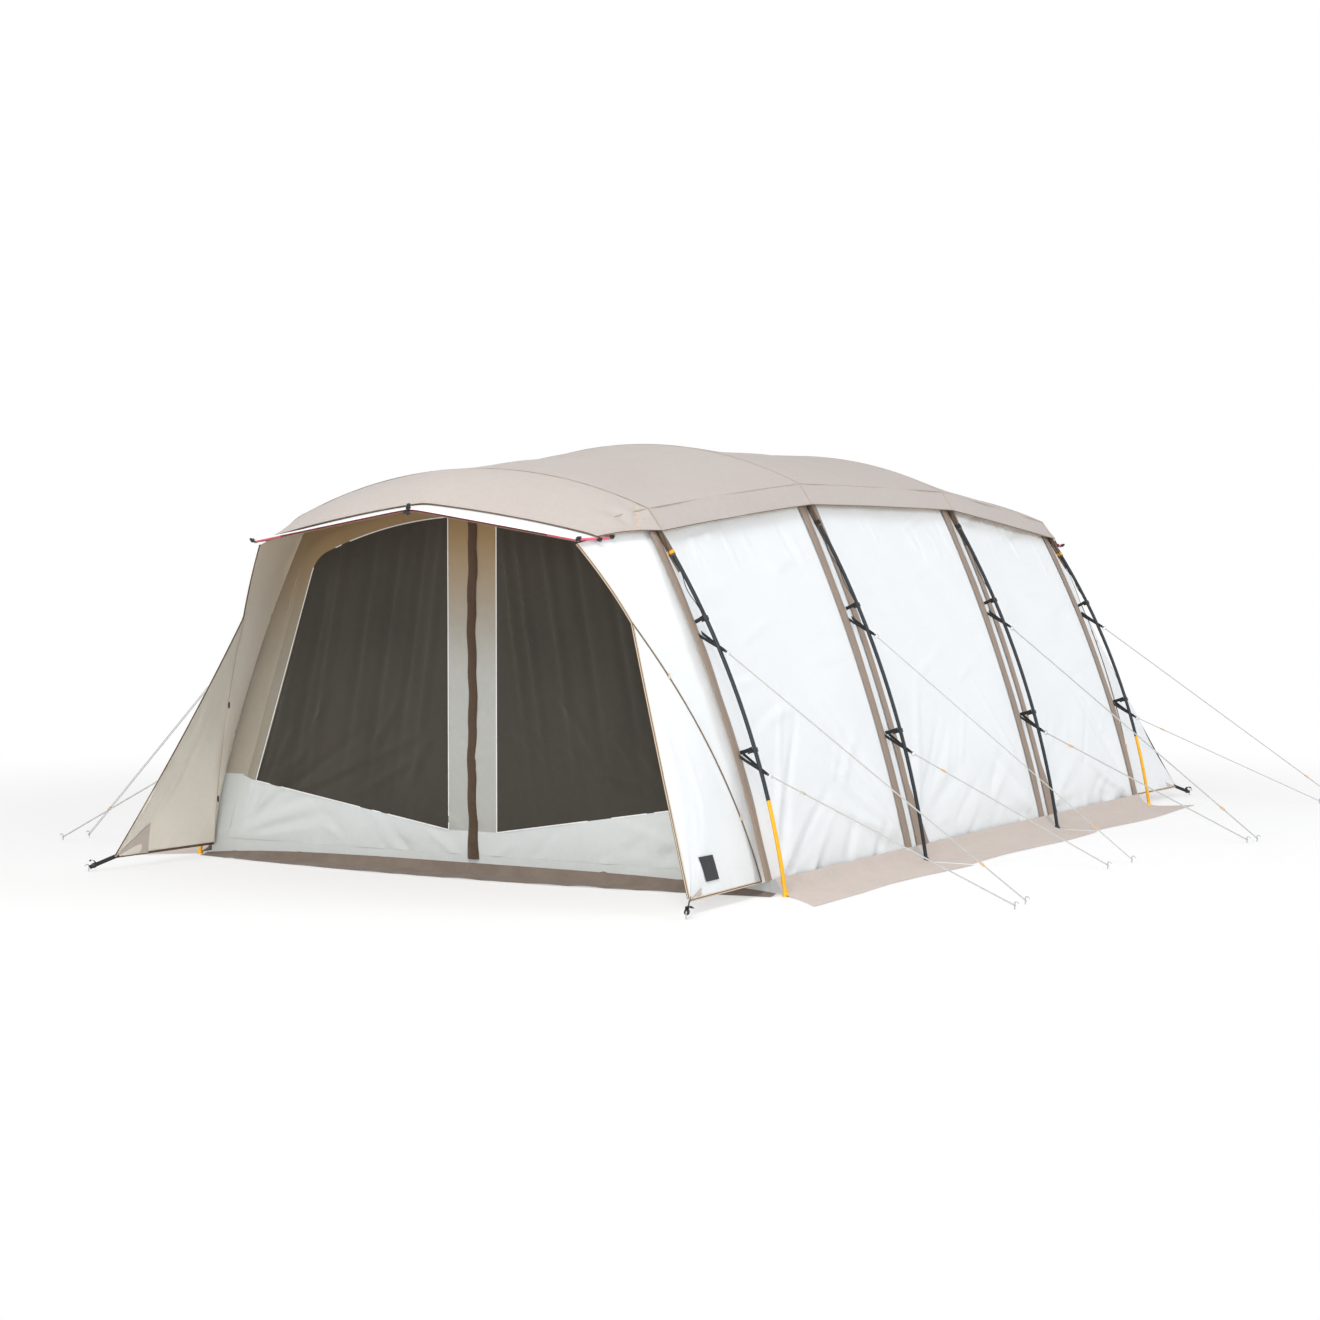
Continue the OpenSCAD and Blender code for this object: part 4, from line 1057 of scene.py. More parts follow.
class Palette:
    """Every finish of the tent, made once."""

    def __init__(self) -> None:
        """Make all the materials."""
        self.roof = WovenCloth("roof_cloth", (0.56, 0.51, 0.48), (0.485, 0.425, 0.395), 0.40).build()
        # Painted glow: the underside of the roof sheet and of the canopies is orange-tan, standing for
        # daylight through the cloth.
        self.roof_under_painted_glow = WovenCloth("roof_underside_painted_glow", (0.80, 0.56, 0.33), (0.72, 0.48, 0.26),
                                     0.30).build()
        self.wall = WovenCloth("wall_cloth", (0.87, 0.895, 0.91), (0.80, 0.825, 0.84), 0.22,
                               sheen=0.05).build()
        # Painted light and shade: the inner face of the walls and ceiling is cream and a little darker,
        # standing for light through the white cloth.
        self.inner = WovenCloth("wall_inside_painted_light", (0.80, 0.755, 0.65), (0.72, 0.67, 0.56), 0.35).build()
        # Painted light: the wing's inner face is cream, standing for light through the cloth, with a
        # painted glow towards the top.
        self.wing_inner_painted_light = WovenCloth("wing_inside_painted_light", (0.90, 0.86, 0.77), (0.84, 0.79, 0.69), 0.40,
                                     painted_glow=(0.66, 0.55, 0.40), painted_glow_strength=0.6).build()
        # These three cloths take a painted glow towards the top, standing for light through the roof
        # sheet.
        self.cream = WovenCloth("cream_cloth", (0.31, 0.285, 0.235), (0.26, 0.24, 0.19), 0.40,
                                painted_glow=(0.30, 0.205, 0.10), painted_glow_strength=0.9).build()
        self.cream_pale = WovenCloth("centre_strip", (0.41, 0.415, 0.395), (0.35, 0.35, 0.325), 0.40,
                                     painted_glow=(0.29, 0.20, 0.10), painted_glow_strength=1.0).build()
        self.tan_strip = WovenCloth("tan_strip", (0.41, 0.37, 0.31), (0.35, 0.31, 0.25), 0.40,
                                    painted_glow=(0.27, 0.18, 0.085), painted_glow_strength=0.9).build()
        self.lower = WovenCloth("sill_cloth", (0.61, 0.64, 0.64), (0.54, 0.57, 0.57), 0.35).build()
        self.net = InsectMesh("door_mesh", (0.060, 0.052, 0.041), (0.030, 0.026, 0.021)).build()
        self.net_inner = InsectMesh("door_mesh_inside", (0.10, 0.088, 0.072),
                                    (0.052, 0.046, 0.039)).build()
        self.brown = WovenCloth("hoop_band_cloth", (0.36, 0.28, 0.225), (0.29, 0.22, 0.17), 0.35,
                                crush=0.003).build()
        self.brown_dark = WovenCloth("sleeve_cloth", (0.185, 0.125, 0.085), (0.14, 0.092, 0.062),
                                     0.35).build()
        self.flap = WovenCloth("zip_flap_cloth", (0.082, 0.050, 0.032), (0.056, 0.034, 0.022), 0.35,
                               crush=0.003).build()
        self.skirt = WovenCloth("skirt_cloth", (0.64, 0.565, 0.52), (0.56, 0.48, 0.43), 0.30, dust_and_shade=0.12,
                                sheen=0.05).build()
        self.end_skirt = WovenCloth("end_skirt_cloth", (0.185, 0.145, 0.118), (0.145, 0.11, 0.088), 0.30,
                                    dust_and_shade=0.15).build()
        self.binding = Webbing("binding", (0.095, 0.050, 0.030), (0.14, 0.08, 0.05)).build()
        self.piping = Webbing("piping", (0.175, 0.12, 0.08), (0.24, 0.17, 0.12)).build()
        self.seam = Webbing("roof_seam", (0.56, 0.48, 0.41), (0.44, 0.37, 0.31), edge=0.004).build()
        self.white_seam = Webbing("wall_seam", (0.84, 0.85, 0.85), (0.72, 0.72, 0.70), edge=0.004).build()
        self.web = Webbing("black_web", (0.016, 0.017, 0.019), (0.034, 0.036, 0.040), edge=0.003).build()
        self.yellow_web = Webbing("yellow_web", (0.85, 0.42, 0.02), (0.95, 0.55, 0.06)).build()
        self.tan_web = Webbing("tan_loop", (0.66, 0.54, 0.40), (0.74, 0.62, 0.48)).build()
        self.elastic = BraidedCord("elastic", (0.030, 0.034, 0.040), (0.012, 0.013, 0.015)).build()
        self.cord = BraidedCord("guy_cord", (0.66, 0.66, 0.64), (0.50, 0.50, 0.48)).build()
        self.pole = PoleTube("pole_black", (0.030, 0.037, 0.045), (0.10, 0.11, 0.12)).build()
        self.orange = PoleTube("pole_orange", (0.95, 0.46, 0.010), (0.98, 0.58, 0.06), 0.25, 0.32).build()
        self.eave_pole = PoleTube("eave_pole_red", (0.20, 0.008, 0.018), (0.32, 0.03, 0.05), 0.4,
                                  0.34).build()
        self.tip = Moulding("tip_pink", (0.80, 0.11, 0.19), (0.88, 0.26, 0.32), 0.4).build()
        self.black = Moulding("black_moulding", (0.018, 0.019, 0.021), (0.05, 0.052, 0.055)).build()
        self.tan = Moulding("tensioner_tan", (0.72, 0.45, 0.20), (0.82, 0.60, 0.36)).build()
        self.grey_green = Moulding("tensioner_grey", (0.50, 0.52, 0.44), (0.62, 0.63, 0.56)).build()
        self.pale_toggle = Moulding("toggle_tan", (0.66, 0.52, 0.38), (0.76, 0.64, 0.50)).build()
        self.ring = BareWire("ring_metal", (0.66, 0.67, 0.68), (0.42, 0.43, 0.44)).build()
        self.peg = BareWire("peg_metal", (0.50, 0.51, 0.52), (0.30, 0.31, 0.31), 0.4).build()
        self.zip = Moulding("zip_black", (0.022, 0.022, 0.024), (0.06, 0.06, 0.06), 0.38).build()


# ---------------------------------------------------------------- the tent's form


@dataclass(frozen=True)
class Arc:
    """One arc of a half hoop; leans are in degrees from vertical."""

    x: float
    z: float
    radius: float
    first: float
    last: float


@dataclass(frozen=True)
class Hoop:
    """A hoop as three tangent arcs a side: leg, shoulder and roof.

    Attributes:
        y: Place of its plane.
        arcs: Its arcs from the foot up.
        foot_gap: Distance of the wall inside the pole centre at the foot.
        top_gap: Distance of the cloth inside the pole centre at the shoulder.
        slack: Further distance of the wall inside the pole half-way up.
    """

    y: float
    arcs: tuple[Arc, Arc, Arc]
    foot_gap: float
    top_gap: float
    slack: float

    def at(self, lean: Values, off: Values = 0.0) -> Points:
        """Return points of the right half of the hoop.

        Args:
            lean: Leans in degrees.
            off: Distance out from the pole centre.

        Returns:
            Points in space, with the shape of lean and a last axis of 3.
        """
        lean, off = np.broadcast_arrays(np.asarray(lean, float), np.asarray(off, float))
        x, z, r = (np.where(lean <= self.arcs[0].last, getattr(self.arcs[0], n),
                            np.where(lean <= self.arcs[1].last, getattr(self.arcs[1], n),
                                     getattr(self.arcs[2], n))) for n in ("x", "z", "radius"))
        a = np.radians(lean)
        return np.stack([x + (r + off) * np.cos(a), np.full(a.shape, self.y), z + (r + off) * np.sin(a)],
                        axis=-1)

    def out(self, lean: Values) -> Points:
        """Return the outward direction of the hoop at a lean."""
        a = np.radians(np.asarray(lean, float))
        return np.stack([np.cos(a), np.zeros(a.shape), np.sin(a)], axis=-1)

    def lean_at(self, z: float) -> float:
        """Return the lean of the leg at a height of its pole centre."""
        leg = self.arcs[0]
        return math.degrees(math.asin((z - leg.z) / leg.radius))

    def gap(self, lean: Values) -> Points:
        """Return how far the wall lies inside the pole centre at a lean.

        Args:
            lean: Lean of the place on the hoop.

        Returns:
            The distances.
        """
        leg = self.arcs[0]
        t = np.clip((np.asarray(lean, float) - leg.first) / (leg.last - leg.first), 0, 1)
        return self.foot_gap + (self.top_gap - self.foot_gap) * t + self.slack * hump(t)

    def leg(self, z: float, off: float = 0.0) -> Points:
        """Return the point of the right leg at a height."""
        return self.at(self.lean_at(z), off)


@dataclass(frozen=True)
class TentForm:
    """All the sizes that several pieces share, and the surfaces that follow from them."""

    hoop_width: float = 3.4
    mid_height: float = 2.116
    end_height: float = 1.94
    foot_lean: float = 8.5
    end_leans: Pair = (36.0, 68.0)
    mid_leans: Pair = (33.0, 65.5)
    shoulder_radius: float = 0.15
    end_bay: float = 1.546
    mid_bay: float = 1.802
    pole_radius: float = 0.0095
    sleeve_radius: float = 0.012
    eave_pole_radius: float = 0.0055
    foot_gap: float = 0.058
    wall_slack: float = 0.045
    hem_height: float = 0.08
    bay_sag: float = 0.014
    valance: float = 0.128
    eave_reach: float = 0.508
    eave_half_width: float = 0.911
    eave_corner_height: float = 1.606
    eave_rise: float = 0.147
    edge_setback: float = 0.135
    middle_setback: float = 0.100
    canopy_sag: float = 0.028
    ridge_round: float = 0.035
    slope_bulge: float = 0.046
    kink: Triple = (1.11, -2.809, 1.233)
    wing_corner: Triple = (1.617, -3.187, 0.062)
    valance_cells: int = 5
    shoulder_cells: int = 2
    arch_cells: int = 40

    def shaped(self, y: float, height: float, leans: Pair) -> Hoop:
        """Return the hoop of a height, whose leg radius follows from its leans.

        Args:
            y: Place of its plane.
            height: Height of its pole centre.
            leans: Leans at either end of its shoulder arc.

        Returns:
            The hoop.
        """
        w, r2 = self.hoop_width / 2, self.shoulder_radius
        foot, leg, roof = (math.radians(a) for a in (self.foot_lean, *leans))
        flat = (1 - math.sin(roof)) / math.cos(roof)
        rise = r2 * (math.sin(roof) - math.sin(leg))
        run = r2 * (math.cos(leg) - math.cos(roof))
        r1 = (height - rise - (w - run) * flat) / (
            math.sin(leg) - math.sin(foot) - (math.cos(foot) - math.cos(leg)) * flat)
        x1, z1 = w - r1 * math.cos(foot), -r1 * math.sin(foot)
        x2, z2 = x1 + (r1 - r2) * math.cos(leg), z1 + (r1 - r2) * math.sin(leg)
        r3 = x2 / math.cos(roof) + r2
        x3, z3 = x2 + (r2 - r3) * math.cos(roof), z2 + (r2 - r3) * math.sin(roof)
        arcs = (Arc(x1, z1, r1, self.foot_lean, leans[0]), Arc(x2, z2, r2, *leans),
                Arc(x3, z3, r3, leans[1], 90.0))
        return Hoop(y, arcs, self.foot_gap, self.sleeve_radius + SEAT, self.wall_slack)

    @property
    def hoops(self) -> tuple[Hoop, Hoop, Hoop, Hoop]:
        """Return the four hoops from the front to the rear.

        Returns:
            The hoops.
        """
        half, end = self.mid_bay / 2, self.mid_bay / 2 + self.end_bay
        return (self.shaped(-end, self.end_height, self.end_leans),
                self.shaped(-half, self.mid_height, self.mid_leans),
                self.shaped(half, self.mid_height, self.mid_leans),
                self.shaped(end, self.end_height, self.end_leans))

    def sag(self, t: Values) -> Points:
        """Return the inward sag of the cloth a part t of the way along a bay."""
        return self.bay_sag * hump(t)

    # The roof sheet: hem, crease and arch over each hoop, then the sloping eaves.

    def roof_half(self, hoop: Hoop, off: float) -> Points:
        """Return the roof sheet's section over a hoop, from the right hem to the apex.

        Args:
            hoop: The hoop.
            off: Distance out from the pole centre.

        Returns:
            Points in space.
        """
        bend, roof = hoop.arcs[1], hoop.arcs[2]
        half = (bend.last - bend.first) / 2
        turn, first = math.radians(bend.first + half), math.radians(bend.first)
        reach = (bend.radius + off) / math.cos(math.radians(half))
        crease = np.array([bend.x + reach * math.cos(turn), hoop.y, bend.z + reach * math.sin(turn)])
        hem = crease + self.valance * np.array([math.sin(first), 0, -math.cos(first)])
        start = hoop.at(roof.first + PAST, off)
        low = [mix(hem, crease, k / self.valance_cells) for k in range(self.valance_cells)]
        turned = [mix(crease, start, k / self.shoulder_cells) for k in range(self.shoulder_cells)]
        leans = np.linspace(roof.first + PAST, 90, self.arch_cells + 1)
        return np.vstack([low, turned, hoop.at(leans, off)])

    def eave_parts(self) -> Points:
        """Return the part of the way from corner to middle of each point of a half section.

        Returns:
            The parts, from 0 to 1.
        """
        n, s, a = self.valance_cells, self.shoulder_cells, self.arch_cells
        return np.concatenate([np.linspace(0, 0.1, n, endpoint=False),
                               np.linspace(0.1, 0.125, s, endpoint=False),
                               np.linspace(0.125, 1, a + 1)])

    def bow(self, parts: Points, off: float) -> Points:
        """Return points of the right half of the front eave pole, straight but for its middle.

        Args:
            parts: Parts of the way from the corner, 0, to the middle, 1.
            off: Distance up from the pole centre.

        Returns:
            Points in space.
        """
        w, rise = self.eave_half_width, self.eave_rise
        away = np.hypot(1 - parts, self.ridge_round)
        slope = (1 - parts) / away * math.atan2(rise, w)
        z = self.eave_corner_height + rise * (math.hypot(1, self.ridge_round) - away)
        y = self.hoops[0].y - self.eave_reach
        return np.stack([w * (1 - parts) + off * np.sin(slope), np.full(slope.shape, y),
                         z + off * np.cos(slope)], axis=-1)

    def canopy_half(self, off: float, t: float, count: int) -> Points:
        """Return a row of the white eave, a part t of the way from the hoop to the bow.

        Args:
            off: Distance above the cloth's outer face.
            t: 0 at the end hoop, 1 at the eave pole.
            count: Number of points from the side to the middle.

        Returns:
            Points in space, from the right side to the middle.
        """
        hoop = self.hoops[0]
        parts = np.linspace(0, 1, count)
        leans = np.interp(parts, [0, 0.1, 1], [hoop.arcs[1].first, hoop.arcs[1].last, 90])
        inner = hoop.at(np.maximum(leans, hoop.arcs[1].first + PAST), off - hoop.top_gap)
        outer = self.bow(parts, off + self.eave_pole_radius + CLOTH + SEAT)
        return mix(inner, outer, t) - np.array([0, 0, self.canopy_sag]) * hump(t)

    def eave_edge(self, off: float) -> Points:
        """Return the roof sheet's front edge, from its right corner to its middle.

        Args:
            off: Distance out from the pole centres.

        Returns:
            Points in space.
        """
        parts = self.eave_parts()
        last, steps = len(parts) - 1, 20
        back = mix(self.middle_setback, self.edge_setback, 1 - parts)
        rows = [self.canopy_half(off, t, last + 1) for t in np.linspace(0, 1, steps + 1)]
        found = []
        for part, short in zip(parts, back):
            out, across = (1 - short / self.eave_reach) * steps, part * last
            low, left = min(int(out), steps - 1), min(int(across), last - 1)
            ends = (mix(rows[low][j], rows[low + 1][j], out - low) for j in (left, left + 1))
            found.append(mix(*ends, across - left))
        return np.array(found)

    def whole(self, half: Points) -> Points:
        """Return a row from the right to the left side, from its right half."""
        other = half[..., -2::-1, :] * [-1.0, 1.0, 1.0]
        return np.concatenate([half, other], axis=-2)

    def roof_rows(self, off: float, bay_cells: int, slope_cells: int) -> Points:
        """Return the whole roof sheet as rows from the front to the rear edge.

        Args:
            off: Distance out from the pole centres.
            bay_cells: Cells along each bay.
            slope_cells: Cells along each eave.

        Returns:
            Rows of points in space.
        """
        hoops, count = self.hoops, len(self.eave_parts())
        edge = self.eave_edge(0.008)
        top = self.roof_half(hoops[0], off)
        climb = (np.linspace(0.25, 1, count))[:, None] * UP
        front = [mix(top, edge, t) + climb * self.slope_bulge * hump(t)
                 for t in np.linspace(1, 0, slope_cells, endpoint=False)]
        rows = list(front)
        lifted = np.interp(self.eave_parts(), [0, 0.1, 0.35], [1.0, 1.0, 0.0])[:, None]
        for i in range(3):
            for t in np.linspace(0, 1, bay_cells, endpoint=False):
                sagged = off - float(self.sag(t))
                row = mix(self.roof_half(hoops[i], sagged), self.roof_half(hoops[i + 1], sagged), t)
                rows.append(row + lifted * [0, 0, 0.016] * hump(t))
        rows.append(self.roof_half(hoops[3], off))
        rows.extend(row * [1, -1, 1] for row in front[::-1])
        return self.whole(np.array(rows))

    # The walls and the ceiling.

    def wall_half(self, hoop: Hoop, off: float, parts: Points) -> Points:
        """Return the right wall's section at a hoop, from its hem, 0, to the shoulder, 1.

        Args:
            hoop: The hoop.
            off: Distance out from its own place.
            parts: Parts of the way up.

        Returns:
            Points in space.
        """
        hem = hoop.lean_at(self.hem_height)
        lean = np.minimum(mix(hem, hoop.arcs[0].last, parts), hoop.arcs[0].last)
        return hoop.at(lean, off - hoop.gap(lean))

    def ceiling_half(self, hoop: Hoop, off: float, count: int) -> Points:
        """Return the ceiling's section at a hoop, from the right shoulder to the apex.

        Args:
            hoop: The hoop.
            off: Distance out from its own place.
            count: Number of points past the shoulder.

        Returns:
            Points in space.
        """
        bend = hoop.arcs[1]
        leans = np.concatenate([np.linspace(bend.first + PAST, bend.last, 6, endpoint=False),
                                np.linspace(bend.last + PAST, 90, count)])
        return hoop.at(leans, off - hoop.top_gap)

    # The end walls and the doors, on the flat.

    def arch_section(self, inset: float, count: int = 30) -> Points:
        """Return the right half of the end wall's outline, from the hem up to the apex.

        Args:
            inset: Distance in from the cloth of the walls.
            count: Number of points of each part.

        Returns:
            Points on the flat, as x and z.
        """
        hoop = self.hoops[0]
        wall = self.wall_half(hoop, -inset, np.linspace(0, 1, count))
        roof = self.ceiling_half(hoop, -inset, count)
        return np.vstack([wall, roof])[:, [0, 2]]


@dataclass(frozen=True)
class DoorForm:
    """Outline of the double door of one end, on the flat.

    Attributes:
        half_width: Half its width at the ground.
        lean: Lean of its hinge edge in degrees.
        bottom: Height of its bottom edge.
        drop: Distance of its top below the hoop's pole centre.
        corner: Radius of its upper corner.
        gap: Gap round each leaf.
        zip_gap: Width of the gap between the leaves.
        strip: Inner edge of the mesh, from the middle.
        mesh_low: Height of the mesh at its inner and its outer end.
        mesh_reach: Place of that outer end, from the middle.
        border: Width of the pale border outside the mesh.
        tan: Width of the darker strip outside the pale border.
    """

    half_width: float = 1.552
    lean: float = 19.0
    bottom: float = 0.092
    drop: float = 0.13
    corner: float = 0.26
    gap: float = 0.0009
    zip_gap: float = 0.008
    strip: float = 0.14
    mesh_low: Pair = (0.206, 0.394)
    mesh_reach: float = 1.326
    border: float = 0.060
    tan: float = 0.022

    def half(self, form: TentForm, inset: float, low: float | None = None) -> Points:
        """Return the right half of the outline, from its foot to the middle of its top.

        Args:
            form: The tent's form.
            inset: Distance in from the leaf's own edge.
            low: Height of its foot, or None for the bottom edge.

        Returns:
            Points on the flat, as x and z.
        """
        roof = form.hoops[0].arcs[2]
        centre = np.array([0.0, roof.z])
        rt, rf = roof.radius - self.drop - inset, max(self.corner - inset, 0.02)
        lean = math.radians(self.lean)
        foot = np.array([self.half_width - inset / math.cos(lean), 0.0])
        up = np.array([-math.sin(lean), math.cos(lean)])
        inward = np.array([-math.cos(lean), -math.sin(lean)])
        v = foot + rf * inward - centre
        along = float(-v @ up + math.sqrt((v @ up) ** 2 - v @ v + (rt - rf) ** 2))
        c = foot + along * up + rf * inward
        top = math.atan2(c[1] - centre[1], c[0] - centre[0])
        bottom = self.bottom + inset if low is None else low
        turn = np.linspace(lean, top, 12)
        arch = np.linspace(top, math.pi / 2, 24)[1:]
        return np.vstack([
            [foot + up * bottom / up[1]],
            c + rf * np.stack([np.cos(turn), np.sin(turn)], axis=1),
            centre + rt * np.stack([np.cos(arch), np.sin(arch)], axis=1),
        ])

    def mesh(self, form: TentForm) -> Points:
        """Return the outline of the right leaf's mesh.

        Args:
            form: The tent's form.

        Returns:
            Points on the flat, as x and z.
        """
        side = self.half(form, self.border + self.tan, 0.0)
        clip = [p for p in side if p[0] > self.strip]
        low, high = self.mesh_low
        slope = (high - low) / (self.mesh_reach - self.strip)
        a, b = clip[0], clip[1]
        x = (a[0] - (b[0] - a[0]) / (b[1] - a[1]) * (a[1] - low + slope * self.strip)) / (
            1 - (b[0] - a[0]) / (b[1] - a[1]) * slope)
        outer = np.array([x, low + slope * (x - self.strip)])
        top = np.interp(self.strip, side[::-1, 0], side[::-1, 1])
        return np.vstack([[self.strip, low], outer, clip[1:], [self.strip, top]])

    def leaf(self, form: TentForm, inset: float = 0.0) -> Points:
        """Return the outline of the right leaf, or of what lies within its outer strip.

        Args:
            form: The tent's form.
            inset: Distance in from the leaf's hinge edge and top.

        Returns:
            Points on the flat, as x and z.
        """
        side = self.half(form, inset, self.bottom)
        inner = self.zip_gap / 2
        clip = np.array([p for p in side if p[0] > inner])
        top = np.interp(inner, side[::-1, 0], side[::-1, 1])
        return np.vstack([[inner, self.bottom], clip, [inner, top]])


# ---------------------------------------------------------------- sub-assemblies


def declared(obj: Piece, node: str, flat: Pair, area: float, held: str, *rests_on: str) -> Piece:
    """Hide the node that a piece of cloth takes the place of, and return the piece.

    Args:
        obj: The piece.
        node: The node.
        flat: Width and length of its cut; not used.
        area: Area of its cut; not used.
        held: How it is held; not used.
        rests_on: Nodes that hold it; not used.

    Returns:
        The piece.
    """
    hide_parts(node)
    return obj


def on_body(obj: Piece, body: str = "tent") -> Piece:
    """Let a piece ride on a body.

    Args:
        obj: The piece.
        body: The body.

    Returns:
        The piece.
    """
    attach(obj, body)
    return obj


def to_corner(obj: Piece, side: Side, end: End) -> Piece:
    """Mirror a piece that was made for the front right corner, with its faces still outward.

    Args:
        obj: The piece.
        side: Side of the tent that it goes to.
        end: End of the tent that it goes to.

    Returns:
        The piece.
    """
    signs = np.array([side.value, -end.value, 1.0])
    mesh = obj.data
    at = np.zeros(len(mesh.vertices) * 3)
    mesh.vertices.foreach_get("co", at)
    mesh.vertices.foreach_set("co", (at.reshape(-1, 3) * signs).ravel())
    if signs.prod() < 0:
        mesh.flip_normals()
    mesh.update()
    return obj


@dataclass
class Part:
    """A sub-assembly of the tent.

    Attributes:
        form: The tent's form.
        palette: The finishes.
    """

    form: TentForm
    palette: Palette

    def hang(self, sheet: ClothGrid, slot: str, node: str, held: str, *rests_on: str) -> Piece:
        """Make a sheet on the tent that takes the place of a node.

        Args:
            sheet: The sheet.
            slot: Slot of its finish; not used.
            node: The node.
            held: How it is held; passed on, but not used.
            rests_on: Nodes that hold it; passed on, but not used.

        Returns:
            The piece.
        """
        width, length, area = sheet.flat()
        log.info("%s, %.2f x %.2f m", sheet.name, width, length)
        obj = on_body(sheet.build())
        return declared(obj, node, (width, length), area, held, *rests_on)

    def both_sides(self, name: str, make: Callable[[], list[Piece]], slot: str, *nodes: str) -> None:
        """Make a piece for each side of the tent.

        Args:
            name: Name of the pieces, less their side.
            make: Makes the parts of the right one.
            slot: Slot of their finish; not used.
            nodes: Nodes that they take the place of.
        """
        for side in Side:
            obj = to_corner(joined(f"{name}_{side.word}", make()), side, End.FRONT)
            on_body(obj)
            if nodes:
                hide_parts(*nodes)
            log.info(obj.name)


@dataclass
class Studio:
    """Camera, lamps, world and floor.

    Attributes:
        eye: Place of the camera.
        pitch: Angle of its view below level, in degrees.
        turn: Angle of its view from +Y towards -X, in degrees.
        lens: Focal length in millimetres on a 36 mm sensor.
        sky: Strength of the even light from the world.
        floor_half: Half width of the floor.
    """

    eye: Triple = (6.949, -12.669, 1.515)
    pitch: float = 2.235
    turn: float = 30.008
    lens: float = 69.78
    sky: float = 0.62
    floor_half: float = 120.0

    def camera(self) -> None:
        """Make the camera."""
        data = bpy.data.cameras.new("camera")
        data.sensor_width = 36.0
        data.lens = self.lens
        data.clip_end = 400.0
        obj = bpy.data.objects.new("camera", data)
        obj.location = self.eye
        obj.rotation_euler = (math.radians(90 - self.pitch), 0.0, math.radians(self.turn))
        bpy.context.scene.collection.objects.link(obj)
        bpy.context.scene.camera = obj

    def lamp(self, name: str, at: Triple, aim: Triple, size: float, watts: float, colour: Colour) -> None:
        """Make a soft square lamp.

        Args:
            name: Its name.
            at: Its place.
            aim: Where it points.
            size: Length of its side.
            watts: Its power.
            colour: Colour of its light.
        """
        data = bpy.data.lights.new(name, "AREA")
        data.shape, data.size, data.energy, data.color = "SQUARE", size, watts, colour
        obj = bpy.data.objects.new(name, data)
        obj.location = at
        obj.rotation_euler = (Vector(aim) - Vector(at)).to_track_quat("-Z", "Y").to_euler()
        bpy.context.scene.collection.objects.link(obj)

    def world(self) -> None:
        """Make an even world that is white behind the tent."""
        world = bpy.data.worlds.new("studio")
        bpy.context.scene.world = world
        s = Nodes(world)
        rays = s.node("LightPath").outputs
        seen = s.math("MAXIMUM", s.math("MAXIMUM", rays["Is Camera Ray"], rays["Is Glossy Ray"]),
                      rays["Is Transmission Ray"])
        light, white = (s.node("Background", {"Color": colour, "Strength": strength}).outputs[0]
                        for colour, strength in (((0.985, 0.99, 1.0, 1.0), self.sky),
                                                 ((1.0, 1.0, 1.0, 1.0), 1.0)))
        both = s.node("MixShader", {0: seen, 1: light, 2: white})
        s.node("OutputWorld", {"Surface": both.outputs[0]})

    def floor(self) -> None:
        """Make the pale floor under the tent."""
        corners = np.array([[-1, -1, 0], [1, -1, 0], [1, 1, 0], [-1, 1, 0]]) * self.floor_half
        material = BareGround("floor", (0.93, 0.93, 0.93), (0.90, 0.90, 0.90)).build()
        new_object("floor", corners - 0.0005 * UP, [[0, 1, 2, 3]], [material])

    def build(self) -> None:
        """Make everything round the tent but the camera."""
        self.world()
        self.floor()
        self.lamp("key", (2.4, -8.5, 9.8), (0.3, -0.3, 0.9), 3.5, 520.0, (1.0, 0.985, 0.96))
        self.lamp("side", (11.0, 3.0, 5.5), (0.8, 0.0, 0.9), 4.0, 330.0, (0.97, 0.985, 1.0))
        self.lamp("fill", (1.0, -12.5, 2.4), (-0.3, -2.0, 0.9), 6.0, 400.0, (1.0, 0.99, 0.97))
        bpy.context.scene.view_settings.view_transform = "Standard"


@dataclass
class Rigid:
    """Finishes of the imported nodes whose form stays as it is."""

    palette: Palette

    def dress(self) -> None:
        """Give each rigid node its finish."""
        p = self.palette
        plan = {
            p.pole: ["hoop_1", "hoop_2", "hoop_3", "hoop_4", "mid_legs"],
            p.orange: ["end_legs"],
            p.black: ["leg_clips"],
            p.ring: ["guy_rings"],
            p.peg: ["pegs"],
            p.zip: ["zip_slider_front", "zip_slider_rear"],
        }
        for side in ("right", "left"):
            for n in range(1, 5):
                for height in ("upper", "lower"):
                    plain = p.grey_green if (n, height) == (1, "lower") else p.tan
                    plan.setdefault(plain, []).append(f"tensioner_{side}_{n}_{height}")
        for material, names in plan.items():
            for name in names:
                obj = bpy.data.objects[name]
                obj.data.materials.clear()
                obj.data.materials.append(material)


